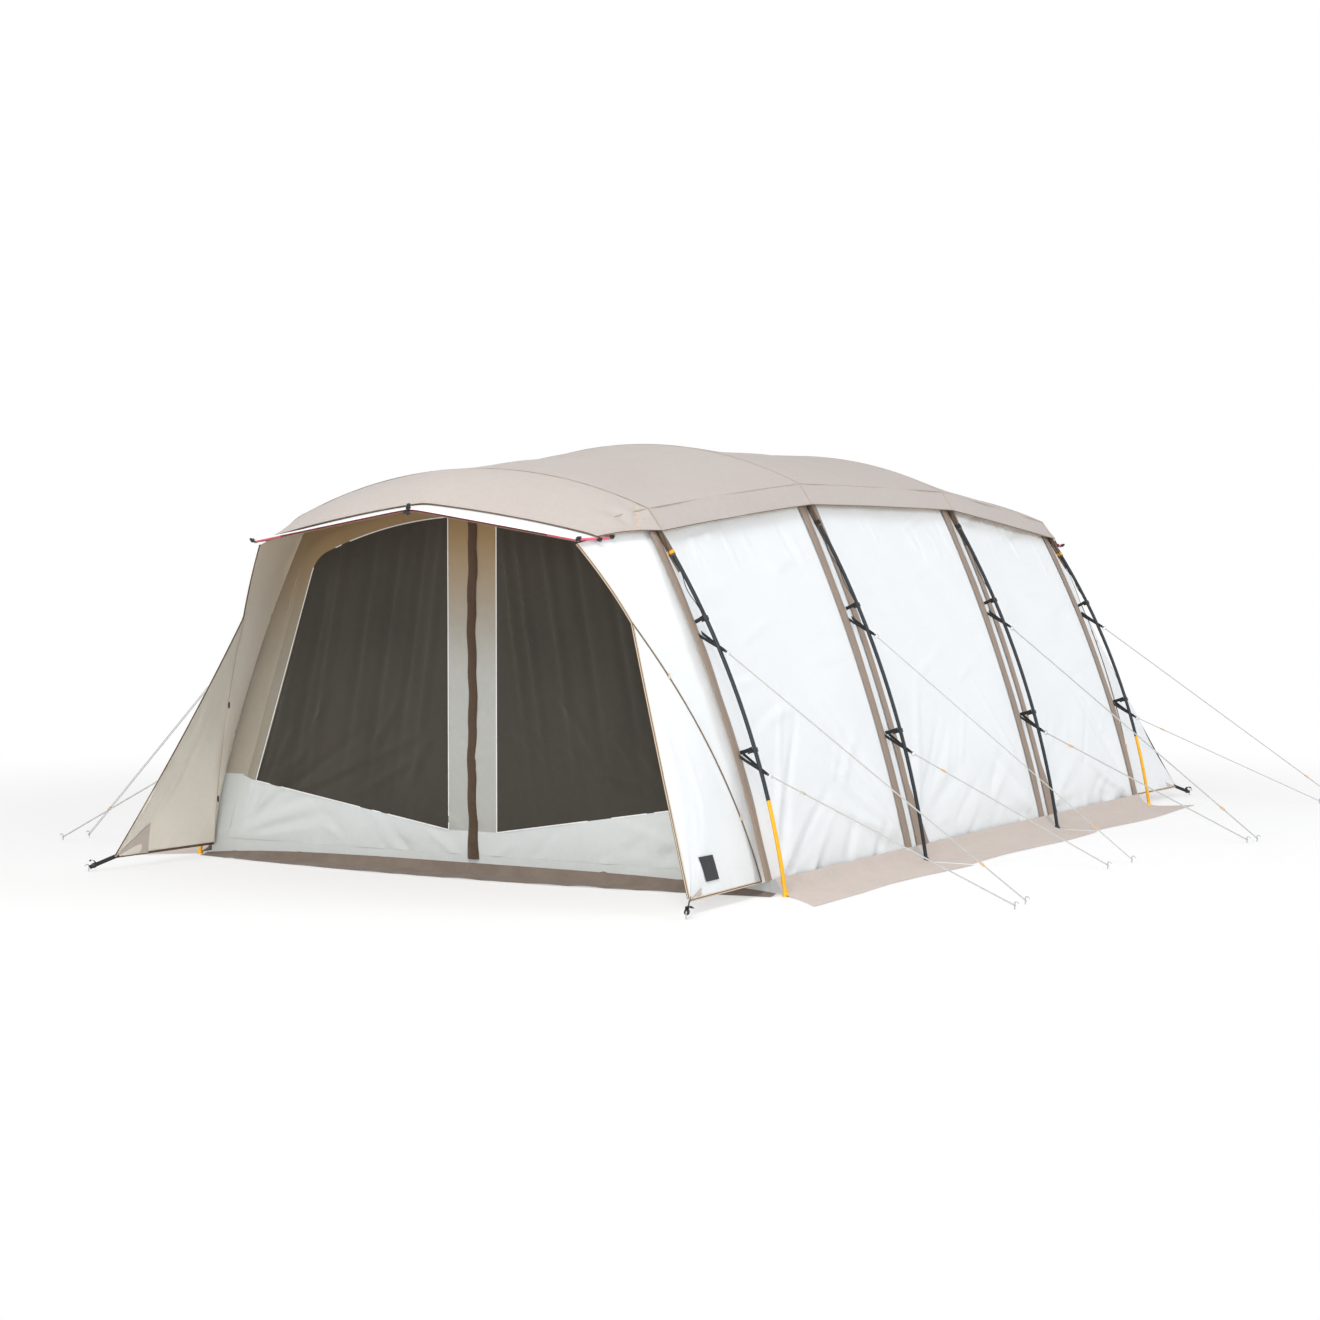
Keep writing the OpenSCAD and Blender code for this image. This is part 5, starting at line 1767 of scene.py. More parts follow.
@dataclass
class RoofSheet(Part):
    """The separate roof sheet over the hoops and out over both eaves.

    Attributes:
        bay_cells: Cells along each bay.
        slope_cells: Cells along each eave.
        seam_width: Width of the felled seams over the hoops.
        hem_radius: Half thickness of the hem binding.
    """

    bay_cells: int = 44
    slope_cells: int = 18
    seam_width: float = 0.014
    hem_radius: float = 0.0022

    def folds(self, length: float, width: float) -> Folds:
        """Return the slack of the sheet and the pulls at its corners and hoops.

        Args:
            length: Length of its flat cut.
            width: Width of its flat cut.

        Returns:
            The folds.
        """
        f = Folds(11, slack=0.0026, slack_size=0.55)
        half = width / 2
        for end, away in ((0.25, 1), (length - 0.25, -1)):
            for side in (-1, 1):
                f.fan((end, side * (half - 0.05)), 90 - 65 * away, 90 + 65 * away, 5, 0.40, 0.034, 0.0085)
                f.ripples((end - 0.2, side * half - 0.3), (end + 0.2, side * half), 80 * side, 5,
                          0.22, 0.030, 0.006)
        f.ripples((0.1, -half + 0.2), (length - 0.1, half - 0.2), 12, 40, 0.5, 0.030, 0.0036)
        f.ripples((0.5, -half), (length - 0.5, -half + 0.16), 70, 12, 0.11, 0.022, 0.0020)
        f.ripples((0.5, half - 0.16), (length - 0.5, half), 110, 12, 0.11, 0.022, 0.0020)
        return f

    def seams(self, face: Points) -> Piece:
        """Make the felled seams over the hoops and the piping along the creases.

        Args:
            face: The sheet's outer face.

        Returns:
            The seams, joined.
        """
        normal = grid_normals(face)
        p, last, crease = self.palette, face.shape[1] - 1, self.form.valance_cells
        parts = []
        for row in self.slope_cells + self.bay_cells * np.arange(4):
            path = spaced(face[row] + normal[row] * 0.0012, 0.02)
            across = np.tile([0.0, -1.0, 0.0], (len(path), 1))
            parts.append(tape(path, across, self.seam_width, 0.0011, p.seam))
        for col in (crease, last - crease):
            path = spaced(face[:, col] + normal[:, col] * 0.0004, 0.03)
            parts.append(tube(path, 0.0021, p.seam, 8))
        for line, gap in ((face[:, 0], 0.03), (face[:, last], 0.03), (face[0], 0.02), (face[-1], 0.02)):
            parts.append(tube(spaced(line, gap), self.hem_radius, p.piping, 8))
        return joined("roof_seams", parts)

    def build(self) -> None:
        """Make the sheet with its seams."""
        off = self.form.sleeve_radius + 0.0015 + CLOTH
        face = self.form.roof_rows(off, self.bay_cells, self.slope_cells)
        sheet = ClothGrid("roof_sheet", face, self.palette.roof, self.palette.roof_under_painted_glow, thickness=THIN)
        width, length, _ = sheet.flat()
        sheet.folds = self.folds(length, width)
        hoops = self.slope_cells + self.bay_cells * np.arange(4)
        away = np.abs(np.arange(len(face))[:, None] - hoops).min(axis=1)
        sheet.hold = 0.9 * np.exp(-(away / 1.6) ** 2)[:, None]
        obj = self.hang(sheet, "roof_cloth", "roof_front", "stretched",
                        *(f"hoop_{k}" for k in range(1, 5)), "eave_poles")
        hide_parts("roof_bay_1", "roof_bay_2", "roof_bay_3", "roof_rear")
        on_body(self.seams(face))


@dataclass
class EaveCanopy(Part):
    """White eave of the tent body under the roof sheet, out to the eave pole.

    Attributes:
        end: End of the tent.
        rows: Cells from the hoop to the pole.
        cols: Points from the side to the middle.
    """

    end: End
    rows: int = 16
    cols: int = 36

    def build(self) -> None:
        """Make the canopy with the hem that holds the pole."""
        face = np.stack([self.form.whole(self.form.canopy_half(0.0, t, self.cols))
                         for t in np.linspace(0.03, 1.0, self.rows)])
        face = face * np.array([1.0, -self.end.value, 1.0])
        sheet = ClothGrid(f"canopy_{self.end.word}", face, self.palette.wall, self.palette.roof_under_painted_glow,
                          flip=self.end is End.FRONT, folds=Folds(21, slack=0.001))
        self.hang(sheet, "wall_cloth", "eave_canopies", "stretched", "eave_poles", "ceiling")
        front = face[-1] + np.array([0, self.end.value * 0.0078, 0])
        cover = tape(spaced(front - UP * 0.0065, 0.02), UP, 0.017, 0.0014, self.palette.wall)
        edge = tube(spaced(front - UP * 0.0155, 0.02), 0.0019, self.palette.piping, 8)
        on_body(joined(f"canopy_hem_{self.end.word}", [cover, edge]))


@dataclass
class EavePole(Part):
    """Eave pole of one end, with its moulded tips, side rods and black toggles.

    Attributes:
        end: End of the tent.
        tip: Part of the half pole that each moulded tip covers.
        rod: Length of the rod from a tip back along the canopy's side.
    """

    end: End
    tip: float = 0.17
    rod: float = 0.22

    def toggle(self, at: Points, way: Sequence[float], size: float) -> list[Piece]:
        """Make a black toggle with the knot of cord that holds it.

        Args:
            at: Its place.
            way: Direction of its length.
            size: Half its length.

        Returns:
            The toggle and the knot.
        """
        way = unit(way)
        t = np.linspace(-1, 1, 9)
        turn = np.linspace(0, 2.2 * math.pi, 22)[:, None]
        side = unit(np.cross(way, UP))
        knot = at + 0.0105 * (np.cos(turn) * side + np.sin(turn) * UP)
        knot = knot + np.linspace(-0.4, 0.6, 22)[:, None] * size * way
        return [tube(at + t[:, None] * size * way, 0.0075 * (1 - 0.3 * t**4), self.palette.black, 12),
                tube(knot, 0.0022, self.palette.elastic, 8)]

    def half(self) -> tuple[list[Piece], list[Piece]]:
        """Make the tip and rod, and the toggles, of the front right corner.

        Returns:
            The tip with its rod, and the toggles.
        """
        f, r, tip = self.form, self.form.eave_pole_radius, self.palette.tip
        line = f.bow(np.linspace(0, self.tip, 12), 0.0)
        corner = line[0]
        back = f.canopy_half(-CLOTH - SEAT - r, 1 - self.rod / f.eave_reach, 12)[0]
        back = back + [0.012, 0, 0]
        elbow = corner + np.array([[-0.010, 0.001, 0.002], [0, 0, 0], [0.002, 0.010, -0.001]])
        rod = spaced(mix(corner, back, np.linspace(0, 1, 9)[:, None]), 0.02)
        tips = [tube(line, r * 1.12, tip, 16), tube(elbow, r * 1.5, tip, 16), tube(rod, r, tip, 16)]
        toggles = self.toggle(corner + [0.012, -0.006, 0.004], [1, -0.3, 0.5], 0.017)
        toggles += self.toggle(back + [0.004, 0.0, 0.004], [0.6, 1.0, 0.4], 0.015)
        toggles += self.toggle(mix(corner, back, 0.62) + [0.006, 0, -0.004], [0.2, 1.0, 0.2], 0.013)
        return tips, toggles

    def build(self) -> None:
        """Make the pole with its tips and toggles."""
        name = self.end.word
        line = self.form.whole(self.form.bow(np.linspace(self.tip - 0.01, 1, 40), 0.0))
        pole = joined(f"eave_pole_{name}", [tube(line, self.form.eave_pole_radius,
                                                 self.palette.eave_pole, 16)])
        middle = self.form.bow(np.array([1.0]), 0.0)[0]
        tips: list[Piece] = []
        knots = self.toggle(middle + [0, -0.014, 0.012], [0.5, -0.2, 1.0], 0.020)
        knots += self.toggle(middle + [-0.012, -0.012, -0.012], [1.0, 0.2, -0.2], 0.017)
        for side in Side:
            for made, kept in zip(self.half(), (tips, knots)):
                kept.extend(to_corner(obj, side, End.FRONT) for obj in made)
        tip = joined(f"eave_tips_{name}", tips)
        for slot, obj in (("eave_pole_red", pole), ("tip_pink", tip),
                          ("clip_plastic", joined(f"eave_toggles_{name}", knots))):
            on_body(to_corner(obj, Side.RIGHT, self.end))
        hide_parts("eave_poles")
        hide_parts("eave_tips")
        log.info("eave pole %s", name)


@dataclass
class SideWall(Part):
    """White wall of one bay, from its hem to the shoulder, with its hoop bands.

    Attributes:
        side: Side of the tent.
        bay: Number of the bay from the front, 0 to 2.
        cells: Cells along the bay and up the wall.
    """

    side: Side
    bay: int
    cells: tuple[int, int] = (120, 100)

    def face(self) -> Points:
        """Return the outer face, rows along the bay from the front.

        Returns:
            Rows of points in space.
        """
        parts = np.linspace(0, 1, self.cells[1] + 1)
        one, two = self.form.hoops[self.bay], self.form.hoops[self.bay + 1]
        rows = []
        for t in np.linspace(0, 1, self.cells[0] + 1):
            off = -float(self.form.sag(t))
            rows.append(mix(self.form.wall_half(one, off, parts),
                            self.form.wall_half(two, off, parts), t))
        return np.array(rows) * np.array([self.side.value, 1, 1])

    def folds(self, length: float, height: float) -> Folds:
        """Return the pulls from the feet of the hoops and under the roof.

        Args:
            length: Length of its flat cut.
            height: Height of its flat cut.

        Returns:
            The folds.
        """
        f = Folds(40 + self.bay + 7 * self.side.value, slack=0.004, slack_size=0.5)
        low = -height / 2
        f.fan((0.0, low), 22, 62, 5, 1.05, 0.040, 0.014)
        f.fan((length, low), 118, 158, 5, 1.05, 0.040, 0.014)
        f.fan((0.0, low + 0.02), 3, 22, 3, 0.60, 0.034, 0.008)
        f.fan((length, low + 0.02), 158, 177, 3, 0.60, 0.034, 0.008)
        f.ripples((0.2, low + 0.05), (length - 0.2, low + 0.6), 38, 12, 0.5, 0.036, 0.0075)
        f.ripples((0.1, -0.3), (length - 0.1, height / 2), 8, 22, 0.5, 0.032, 0.0060)
        f.ripples((0.0, height / 2 - 0.25), (length, height / 2), 100, 10, 0.3, 0.030, 0.0060)
        return f

    def build(self) -> None:
        """Make the wall."""
        name = f"wall_{self.side.word}_{self.bay + 1}"
        face = self.face()
        sheet = ClothGrid(f"{name}_cloth", face, self.palette.wall, self.palette.inner,
                          flip=self.side is Side.LEFT)
        width, length, _ = sheet.flat()
        sheet.folds = self.folds(length, width)
        away = np.minimum(np.arange(face.shape[0]), np.arange(face.shape[0])[::-1])
        sheet.hold = 0.97 * np.exp(-(away / 13.0) ** 4)[:, None]
        self.hang(sheet, "wall_cloth", name, "stretched", f"hoop_{self.bay + 1}", f"hoop_{self.bay + 2}")


@dataclass
class HoopBands(Part):
    """Brown bands sewn to the walls beside each hoop, and the gussets at their feet.

    Attributes:
        width: Width of a band.
        places: Middle of each band from the hoop's plane, for each hoop from the front.
        gusset: Width and height of the foot gussets of the middle hoops.
    """

    width: float = 0.062
    places: tuple[tuple[float, ...], ...] = ((-0.036,), (-0.056, 0.078), (-0.056, 0.078), (-0.05,))
    gusset: Pair = (0.15, 0.55)

    def wall_line(self, hoop: int, y: float, parts: Points) -> tuple[Points, Points]:
        """Return points on the right wall's outer face along its height, and its normals.

        Args:
            hoop: Number of the hoop that the line is beside.
            y: Distance from the hoop's plane.
            parts: Parts of the way from the hem to the shoulder.

        Returns:
            The points and the outward directions.
        """
        hoops = self.form.hoops
        other = min(max(hoop + (1 if y > 0 else -1), 0), 3)
        t = abs(y) / abs(hoops[other].y - hoops[hoop].y) if other != hoop else 0.0
        off = -float(self.form.sag(t))
        here = self.form.wall_half(hoops[hoop], off, parts)
        there = self.form.wall_half(hoops[other], off, parts)
        line = mix(here, there, t)
        line[:, 1] = hoops[hoop].y + y
        lean = mix(hoops[hoop].lean_at(self.form.hem_height), hoops[hoop].arcs[0].last, parts)
        return line, hoops[hoop].out(lean)

    def band(self, hoop: int, y: float, seed: int) -> Piece:
        """Make one band with a slightly wavy loose edge.

        Args:
            hoop: Number of the hoop from the front.
            y: Distance of its middle from the hoop's plane.
            seed: Seed of its waves.

        Returns:
            The band.
        """
        parts = np.linspace(0.0, 1.0, 90)
        rng = np.random.default_rng(seed)
        wave = sum(rng.uniform(0.3, 1) * np.sin(parts * rng.uniform(9, 34) + rng.uniform(0, 6))
                   for _ in range(4)) / 3
        cols = []
        for c in np.linspace(-0.5, 0.5, 7):
            line, out = self.wall_line(hoop, y + c * self.width, parts)
            lift = 0.0060 + 0.0035 * (1 - (2 * c) ** 2) + 0.0018 * wave * (1 + c)
            line = line + out * lift[:, None]
            line[:, 1] += 0.004 * wave * max(c, 0)
            cols.append(line)
        face = np.stack(cols, axis=1)
        return ClothGrid(f"band_{hoop}_{seed}", face, self.palette.brown, thickness=SKIRT).build()

    def foot(self, hoop: int) -> Piece:
        """Make the gusset that widens to the ground behind a middle hoop.

        Args:
            hoop: Number of the hoop from the front.

        Returns:
            The gusset.
        """
        width, height = self.gusset
        parts = np.linspace(0.0, height / 1.75, 24)
        cols = []
        for c in np.linspace(0, 1, 6):
            grow = (1 - parts / parts[-1]) ** 1.2
            points = []
            for part, g in zip(parts, grow):
                line, out = self.wall_line(hoop, 0.05 + c * (0.004 + width * g), np.array([part]))
                points.append(line[0] + out[0] * (0.004 + 0.012 * math.sin(math.pi * c) * g))
            cols.append(points)
        face = np.stack([np.array(c) for c in cols], axis=1)
        return ClothGrid(f"gusset_{hoop}", face, self.palette.brown, thickness=SKIRT).build()

    def right(self) -> list[Piece]:
        """Make the bands and gussets of the right side.

        Returns:
            The bands and the gussets.
        """
        places = [(hoop, y) for hoop, beside in enumerate(self.places) for y in beside]
        parts = [self.band(hoop, y, k + 1) for k, (hoop, y) in enumerate(places)]
        return parts + [self.foot(hoop) for hoop in (1, 2)]

    def build(self) -> None:
        """Make the bands of both sides."""
        self.both_sides("hoop_bands", self.right, "sleeve_cloth")


@dataclass
class Ceiling(Part):
    """Cream cloth of the tent body between the shoulders, under the roof sheet."""

    def build(self) -> None:
        """Make the ceiling."""
        rows = []
        for i in range(3):
            for t in np.linspace(0, 1, 16, endpoint=i == 2):
                off = -float(self.form.sag(t))
                a = self.form.ceiling_half(self.form.hoops[i], off, 24)
                b = self.form.ceiling_half(self.form.hoops[i + 1], off, 24)
                rows.append(mix(a, b, t))
        face = self.form.whole(np.array(rows))
        sheet = ClothGrid("ceiling_cloth", face, self.palette.wall, self.palette.inner, folds=Folds(31))
        self.hang(sheet, "ceiling_cloth", "ceiling", "stretched", *(f"hoop_{k}" for k in range(1, 5)))


@dataclass
class CornerWing(Part):
    """Corner wing: a panel from the end hoop to its seam, and the triangle pegged out before it.

    Attributes:
        side: Side of the tent.
        end: End of the tent.
        eave_corner: Upper corner of its free edge, for the front right wing.
        foot_step: From the lower end of its edge on the hoop to the foot of its seam.
        binding: Width of the binding along its edges.
        bowing: How far its seam bows towards the hoop below its kink.
        cut_length: Length of the flat cut of both its panels side by side.
        cut_share: Part of that cut's rectangle that is cloth.
    """

    side: Side
    end: End
    eave_corner: Triple = (0.900, -2.940, 1.588)
    foot_step: Triple = (-0.035, -0.022, -0.012)
    binding: float = 0.013
    bowing: float = 0.065
    cut_length: float = 1.8
    cut_share: float = 0.62

    def back(self, t: Points) -> Points:
        """Return points of its edge on the end hoop, a part t of the way up."""
        hoop = self.form.hoops[0]
        return self.form.wall_half(hoop, 0.0, np.clip(t, 0, 0.9995)) - [0, 0.003, 0]

    def foot(self) -> Points:
        """Return the foot of the seam."""
        return self.back(np.array([0.0]))[0] + np.array(self.foot_step)

    def at_kink(self) -> float:
        """Return the part of the way up the seam at which it has its kink."""
        foot = self.foot()
        return float((self.form.kink[2] - foot[2]) / (self.eave_corner[2] - foot[2]))

    def seam(self, t: Points) -> Points:
        """Return points of the seam, slightly drawn in between its ends and its kink.

        Args:
            t: Parts of the way along it.

        Returns:
            Points in space.
        """
        k, foot = self.at_kink(), self.foot()
        kink, top = np.array(self.form.kink), np.array(self.eave_corner)
        low = mix(foot, kink, np.clip(t / k, 0, 1)[:, None])
        low = low + self.bowing * hump(np.clip(t / k, 0, 1))[:, None] * [0.86, 0.5, 0.1]
        high = mix(kink, top, np.clip((t - k) / (1 - k), 0, 1)[:, None])
        inward = 0.010 * hump(np.clip((t - k) / (1 - k), 0, 1))[:, None] * [1.0, 0.5, 0]
        return np.where((t < k)[:, None], low, high + inward)

    def panel(self) -> Points:
        """Return the outer face of the upper panel, from the seam to the hoop.

        Returns:
            Rows of points in space.
        """
        k = self.at_kink()
        t = np.concatenate([np.linspace(0, k, 44), np.linspace(k, 1, 16)[1:]])
        a, b = self.seam(t), self.back(t)
        cols = [mix(a, b, s) for s in np.linspace(0, 1, 20)]
        face = np.stack(cols, axis=1)
        sink = hump(np.linspace(0, 1, 20))[None, :] * (0.012 * hump(t))[:, None]
        return face + sink[..., None] * [-0.8, 0.5, 0.0]

    def triangle(self) -> Points:
        """Return the outer face of the triangle, from its free edge to the seam.

        Returns:
            Rows of points in space.
        """
        t = np.linspace(0.004, self.at_kink(), 44)
        inner = self.seam(t)
        corner = np.array(self.form.wing_corner)
        cols = [mix(corner, inner, s) for s in np.linspace(0.006, 1, 26)]
        face = np.stack(cols, axis=1)
        part = t / self.at_kink()
        bow = hump(np.linspace(0, 1, 26))[None, :] * (0.016 * part**2)[:, None]
        return face + bow[..., None] * [-0.65, 0.75, 0.0]

    def build(self) -> None:
        """Make the wing with its bindings, seam, patch and toggles."""
        name = f"wing_{self.end.word}_{self.side.word}"
        panel, triangle = self.panel(), self.triangle()
        folds = Folds(61, slack=0.003, slack_size=0.4)
        folds.fan((0.95, -0.35), 150, 215, 5, 0.5, 0.022, 0.006)
        folds.ripples((0.1, -0.3), (1.3, 0.3), 80, 10, 0.35, 0.02, 0.004)
        lower = Folds(67, slack=0.004, slack_size=0.45)
        lower.fan((0.02, -0.55), 15, 80, 6, 0.6, 0.026, 0.006)
        lower.ripples((0.05, -0.4), (0.9, 0.4), 60, 8, 0.35, 0.02, 0.004)
        parts, area = [], 0.0
        for face, creases in ((panel, folds), (triangle, lower)):
            hold = np.ones(face.shape[:2])
            hold[1:-1, 1:-1] = 0.0
            sheet = ClothGrid(name, face, self.palette.wall, self.palette.wing_inner_painted_light, folds=creases,
                              flip=True, hold=hold)
            area += sheet.flat()[2]
            parts.append(sheet.build())
        wing = to_corner(joined(f"{name}_cloth", parts), self.side, self.end)
        on_body(wing)
        declared(wing, name, (round(area / (self.cut_share * self.cut_length), 3), self.cut_length),
                 round(area, 4), "stretched", "hoop_1" if self.end is End.FRONT else "hoop_4", "pegs")
        self.trim(name, panel, triangle)
        log.info("wing %s, %.2f m2", name, area)

    def trim(self, name: str, panel: Points, triangle: Points) -> None:
        """Make the bindings, piping, patch and toggles.

        Args:
            name: Name of the wing.
            panel: Outer face of the upper panel.
            triangle: Outer face of the triangle.
        """
        p = self.palette
        free = np.vstack([panel[43:, 0][::-1], triangle[-1, ::-1][1:]])
        edges = [spaced(line, 0.02) for line in (free, triangle[0])]
        out = unit([0.8, -0.5, 0.3])
        dark = [self.strip(line, out, -1.0, p.binding) for line in edges]
        pale = [self.strip(line, out, 1.0, p.tan_web) for line in edges]
        seam = spaced(triangle[:, -1], 0.02)
        dark.append(tube(seam + out * 0.0020, 0.0036, p.piping, 10))
        dark.extend(tube(line, 0.0026, p.binding, 8) for line in edges)
        pale.append(self.strip(seam, out, -1.0, p.tan_web, 0.009))
        patch = (triangle + grid_normals(triangle) * (CLOTH + 0.0020))[:18, :9]
        dark.append(ClothGrid("patch", patch, p.skirt, flip=True, thickness=THIN).build())
        toggles = []
        for t, within in ((0.80, False), (0.25, False), (0.62, True), (0.20, True)):
            at = seam[int(t * (len(seam) - 1))] + out * (-0.009 if within else 0.007)
            toggles.append(self.toggle(at, p.black if within else p.pale_toggle))
        for what, parts, slot in (("bindings", dark, "sleeve_cloth"), ("edging", pale, "sleeve_cloth"),
                                  ("toggles", toggles, "clip_plastic")):
            on_body(to_corner(joined(f"{name}_{what}", parts), self.side, self.end))
        if self.side is Side.RIGHT and self.end is End.FRONT:
            self.label(name)

    def strip(self, line: Points, out: Points, face: float, material: Material,
              width: float | None = None) -> Piece:
        """Make a binding along an edge of the wing, on one face of the cloth.

        Args:
            line: The edge.
            out: Outward direction of the wing.
            face: 1 for the outer face, -1 for the inner one.
            material: Its finish.
            width: Its width, or None for the usual one.

        Returns:
            The strip.
        """
        way = unit(np.gradient(line, axis=0))
        across = unit(np.cross(way, out)) * face
        lift = 0.0008 if face > 0 else -CLOTH - 0.0008
        return tape(line + out * lift, across, width or self.binding, 0.001, material, 3, 0.0006)

    def label(self, name: str) -> None:
        """Make the plain dark patch that is sewn low on the triangle.

        Args:
            name: Name of the wing.
        """
        t = np.linspace(0, self.at_kink(), 60)
        corner = np.array(self.form.wing_corner)
        inner = self.seam(t) - corner
        along = np.hypot(inner[:, 0], inner[:, 1])
        slope = inner[:, 2] / along
        reach, rise = np.meshgrid(np.linspace(0.19, 0.31, 12), np.linspace(0.06, 0.165, 10))
        part = np.interp(rise / reach + slope[0], slope, t)
        ends = np.stack([np.interp(part, t, inner[:, i]) for i in range(3)], axis=-1)
        face = corner + ends * (reach / np.interp(part, t, along))[..., None]
        face = face - grid_normals(face) * 0.0035
        patch = ClothGrid(f"{name}_patch", face, self.palette.web, flip=True, thickness=THIN).build()
        on_body(patch)

    def toggle(self, at: Points, material: Material) -> Piece:
        """Make a small barrel toggle that lies up and down at a place.

        Args:
            at: The place.
            material: Its finish.

        Returns:
            The toggle.
        """
        z = np.linspace(-1, 1, 9)
        radius = 0.0042 * (1 - 0.35 * z**4) * np.where(np.abs(z) > 0.99, 0.55, 1.0)
        return tube(at + z[:, None] * 0.017 * UP, radius, material, 12)


@dataclass
class EndWall(Part):
    """Cloth of an end wall round its door opening.

    Attributes:
        door: Form of the doors.
        end: End of the tent.
        inset: Distance of its outline inside the walls and the ceiling.
        sill: Height of its lower edge.
        pale: Height up to which it is of the sill's pale cloth.
        strip: Width and length of the strip that it is sewn from, bent round the arch.
    """

    door: DoorForm
    end: End
    inset: float = 0.0036
    sill: float = 0.008
    pale: float = 0.425
    strip: Pair = (0.19, 5.3)

    def band(self, top: float) -> Points:
        """Return the outline of the part of the wall below a height."""
        low, side = self.sill - 0.01, 1.72
        return np.array([[-side, low], [side, low], [side, top], [-side, top]])

    def build(self) -> None:
        """Make the wall."""
        half = self.form.arch_section(self.inset)
        half = np.vstack([[half[0, 0] + 0.002, self.sill], half])
        left = half[-2::-1] * [-1, 1]
        opening = self.door.half(self.form, -self.door.gap)
        opening = np.vstack([opening, opening[-2::-1] * [-1, 1]])
        y = self.form.hoops[0].y + 0.0006
        panel = ClothPanel(
            f"{self.end.word}_wall_cloth", np.vstack([half, left]),
            lambda flat: np.stack([flat[:, 0], np.full(len(flat), y * -self.end.value),
                                   flat[:, 1]], axis=1),
            [self.palette.tan_strip, self.palette.lower], self.palette.inner,
            zones=[self.band(self.pale)], hole=opening, gap=0.016, out=(0.0, float(self.end.value), 0.0))
        declared(on_body(panel.build()), f"{self.end.word}_wall", self.strip,
                 panel.area(), "stretched", "wall_left_1", "wall_right_1", "ceiling")
        log.info("%s, %.3f m2", panel.name, panel.area())


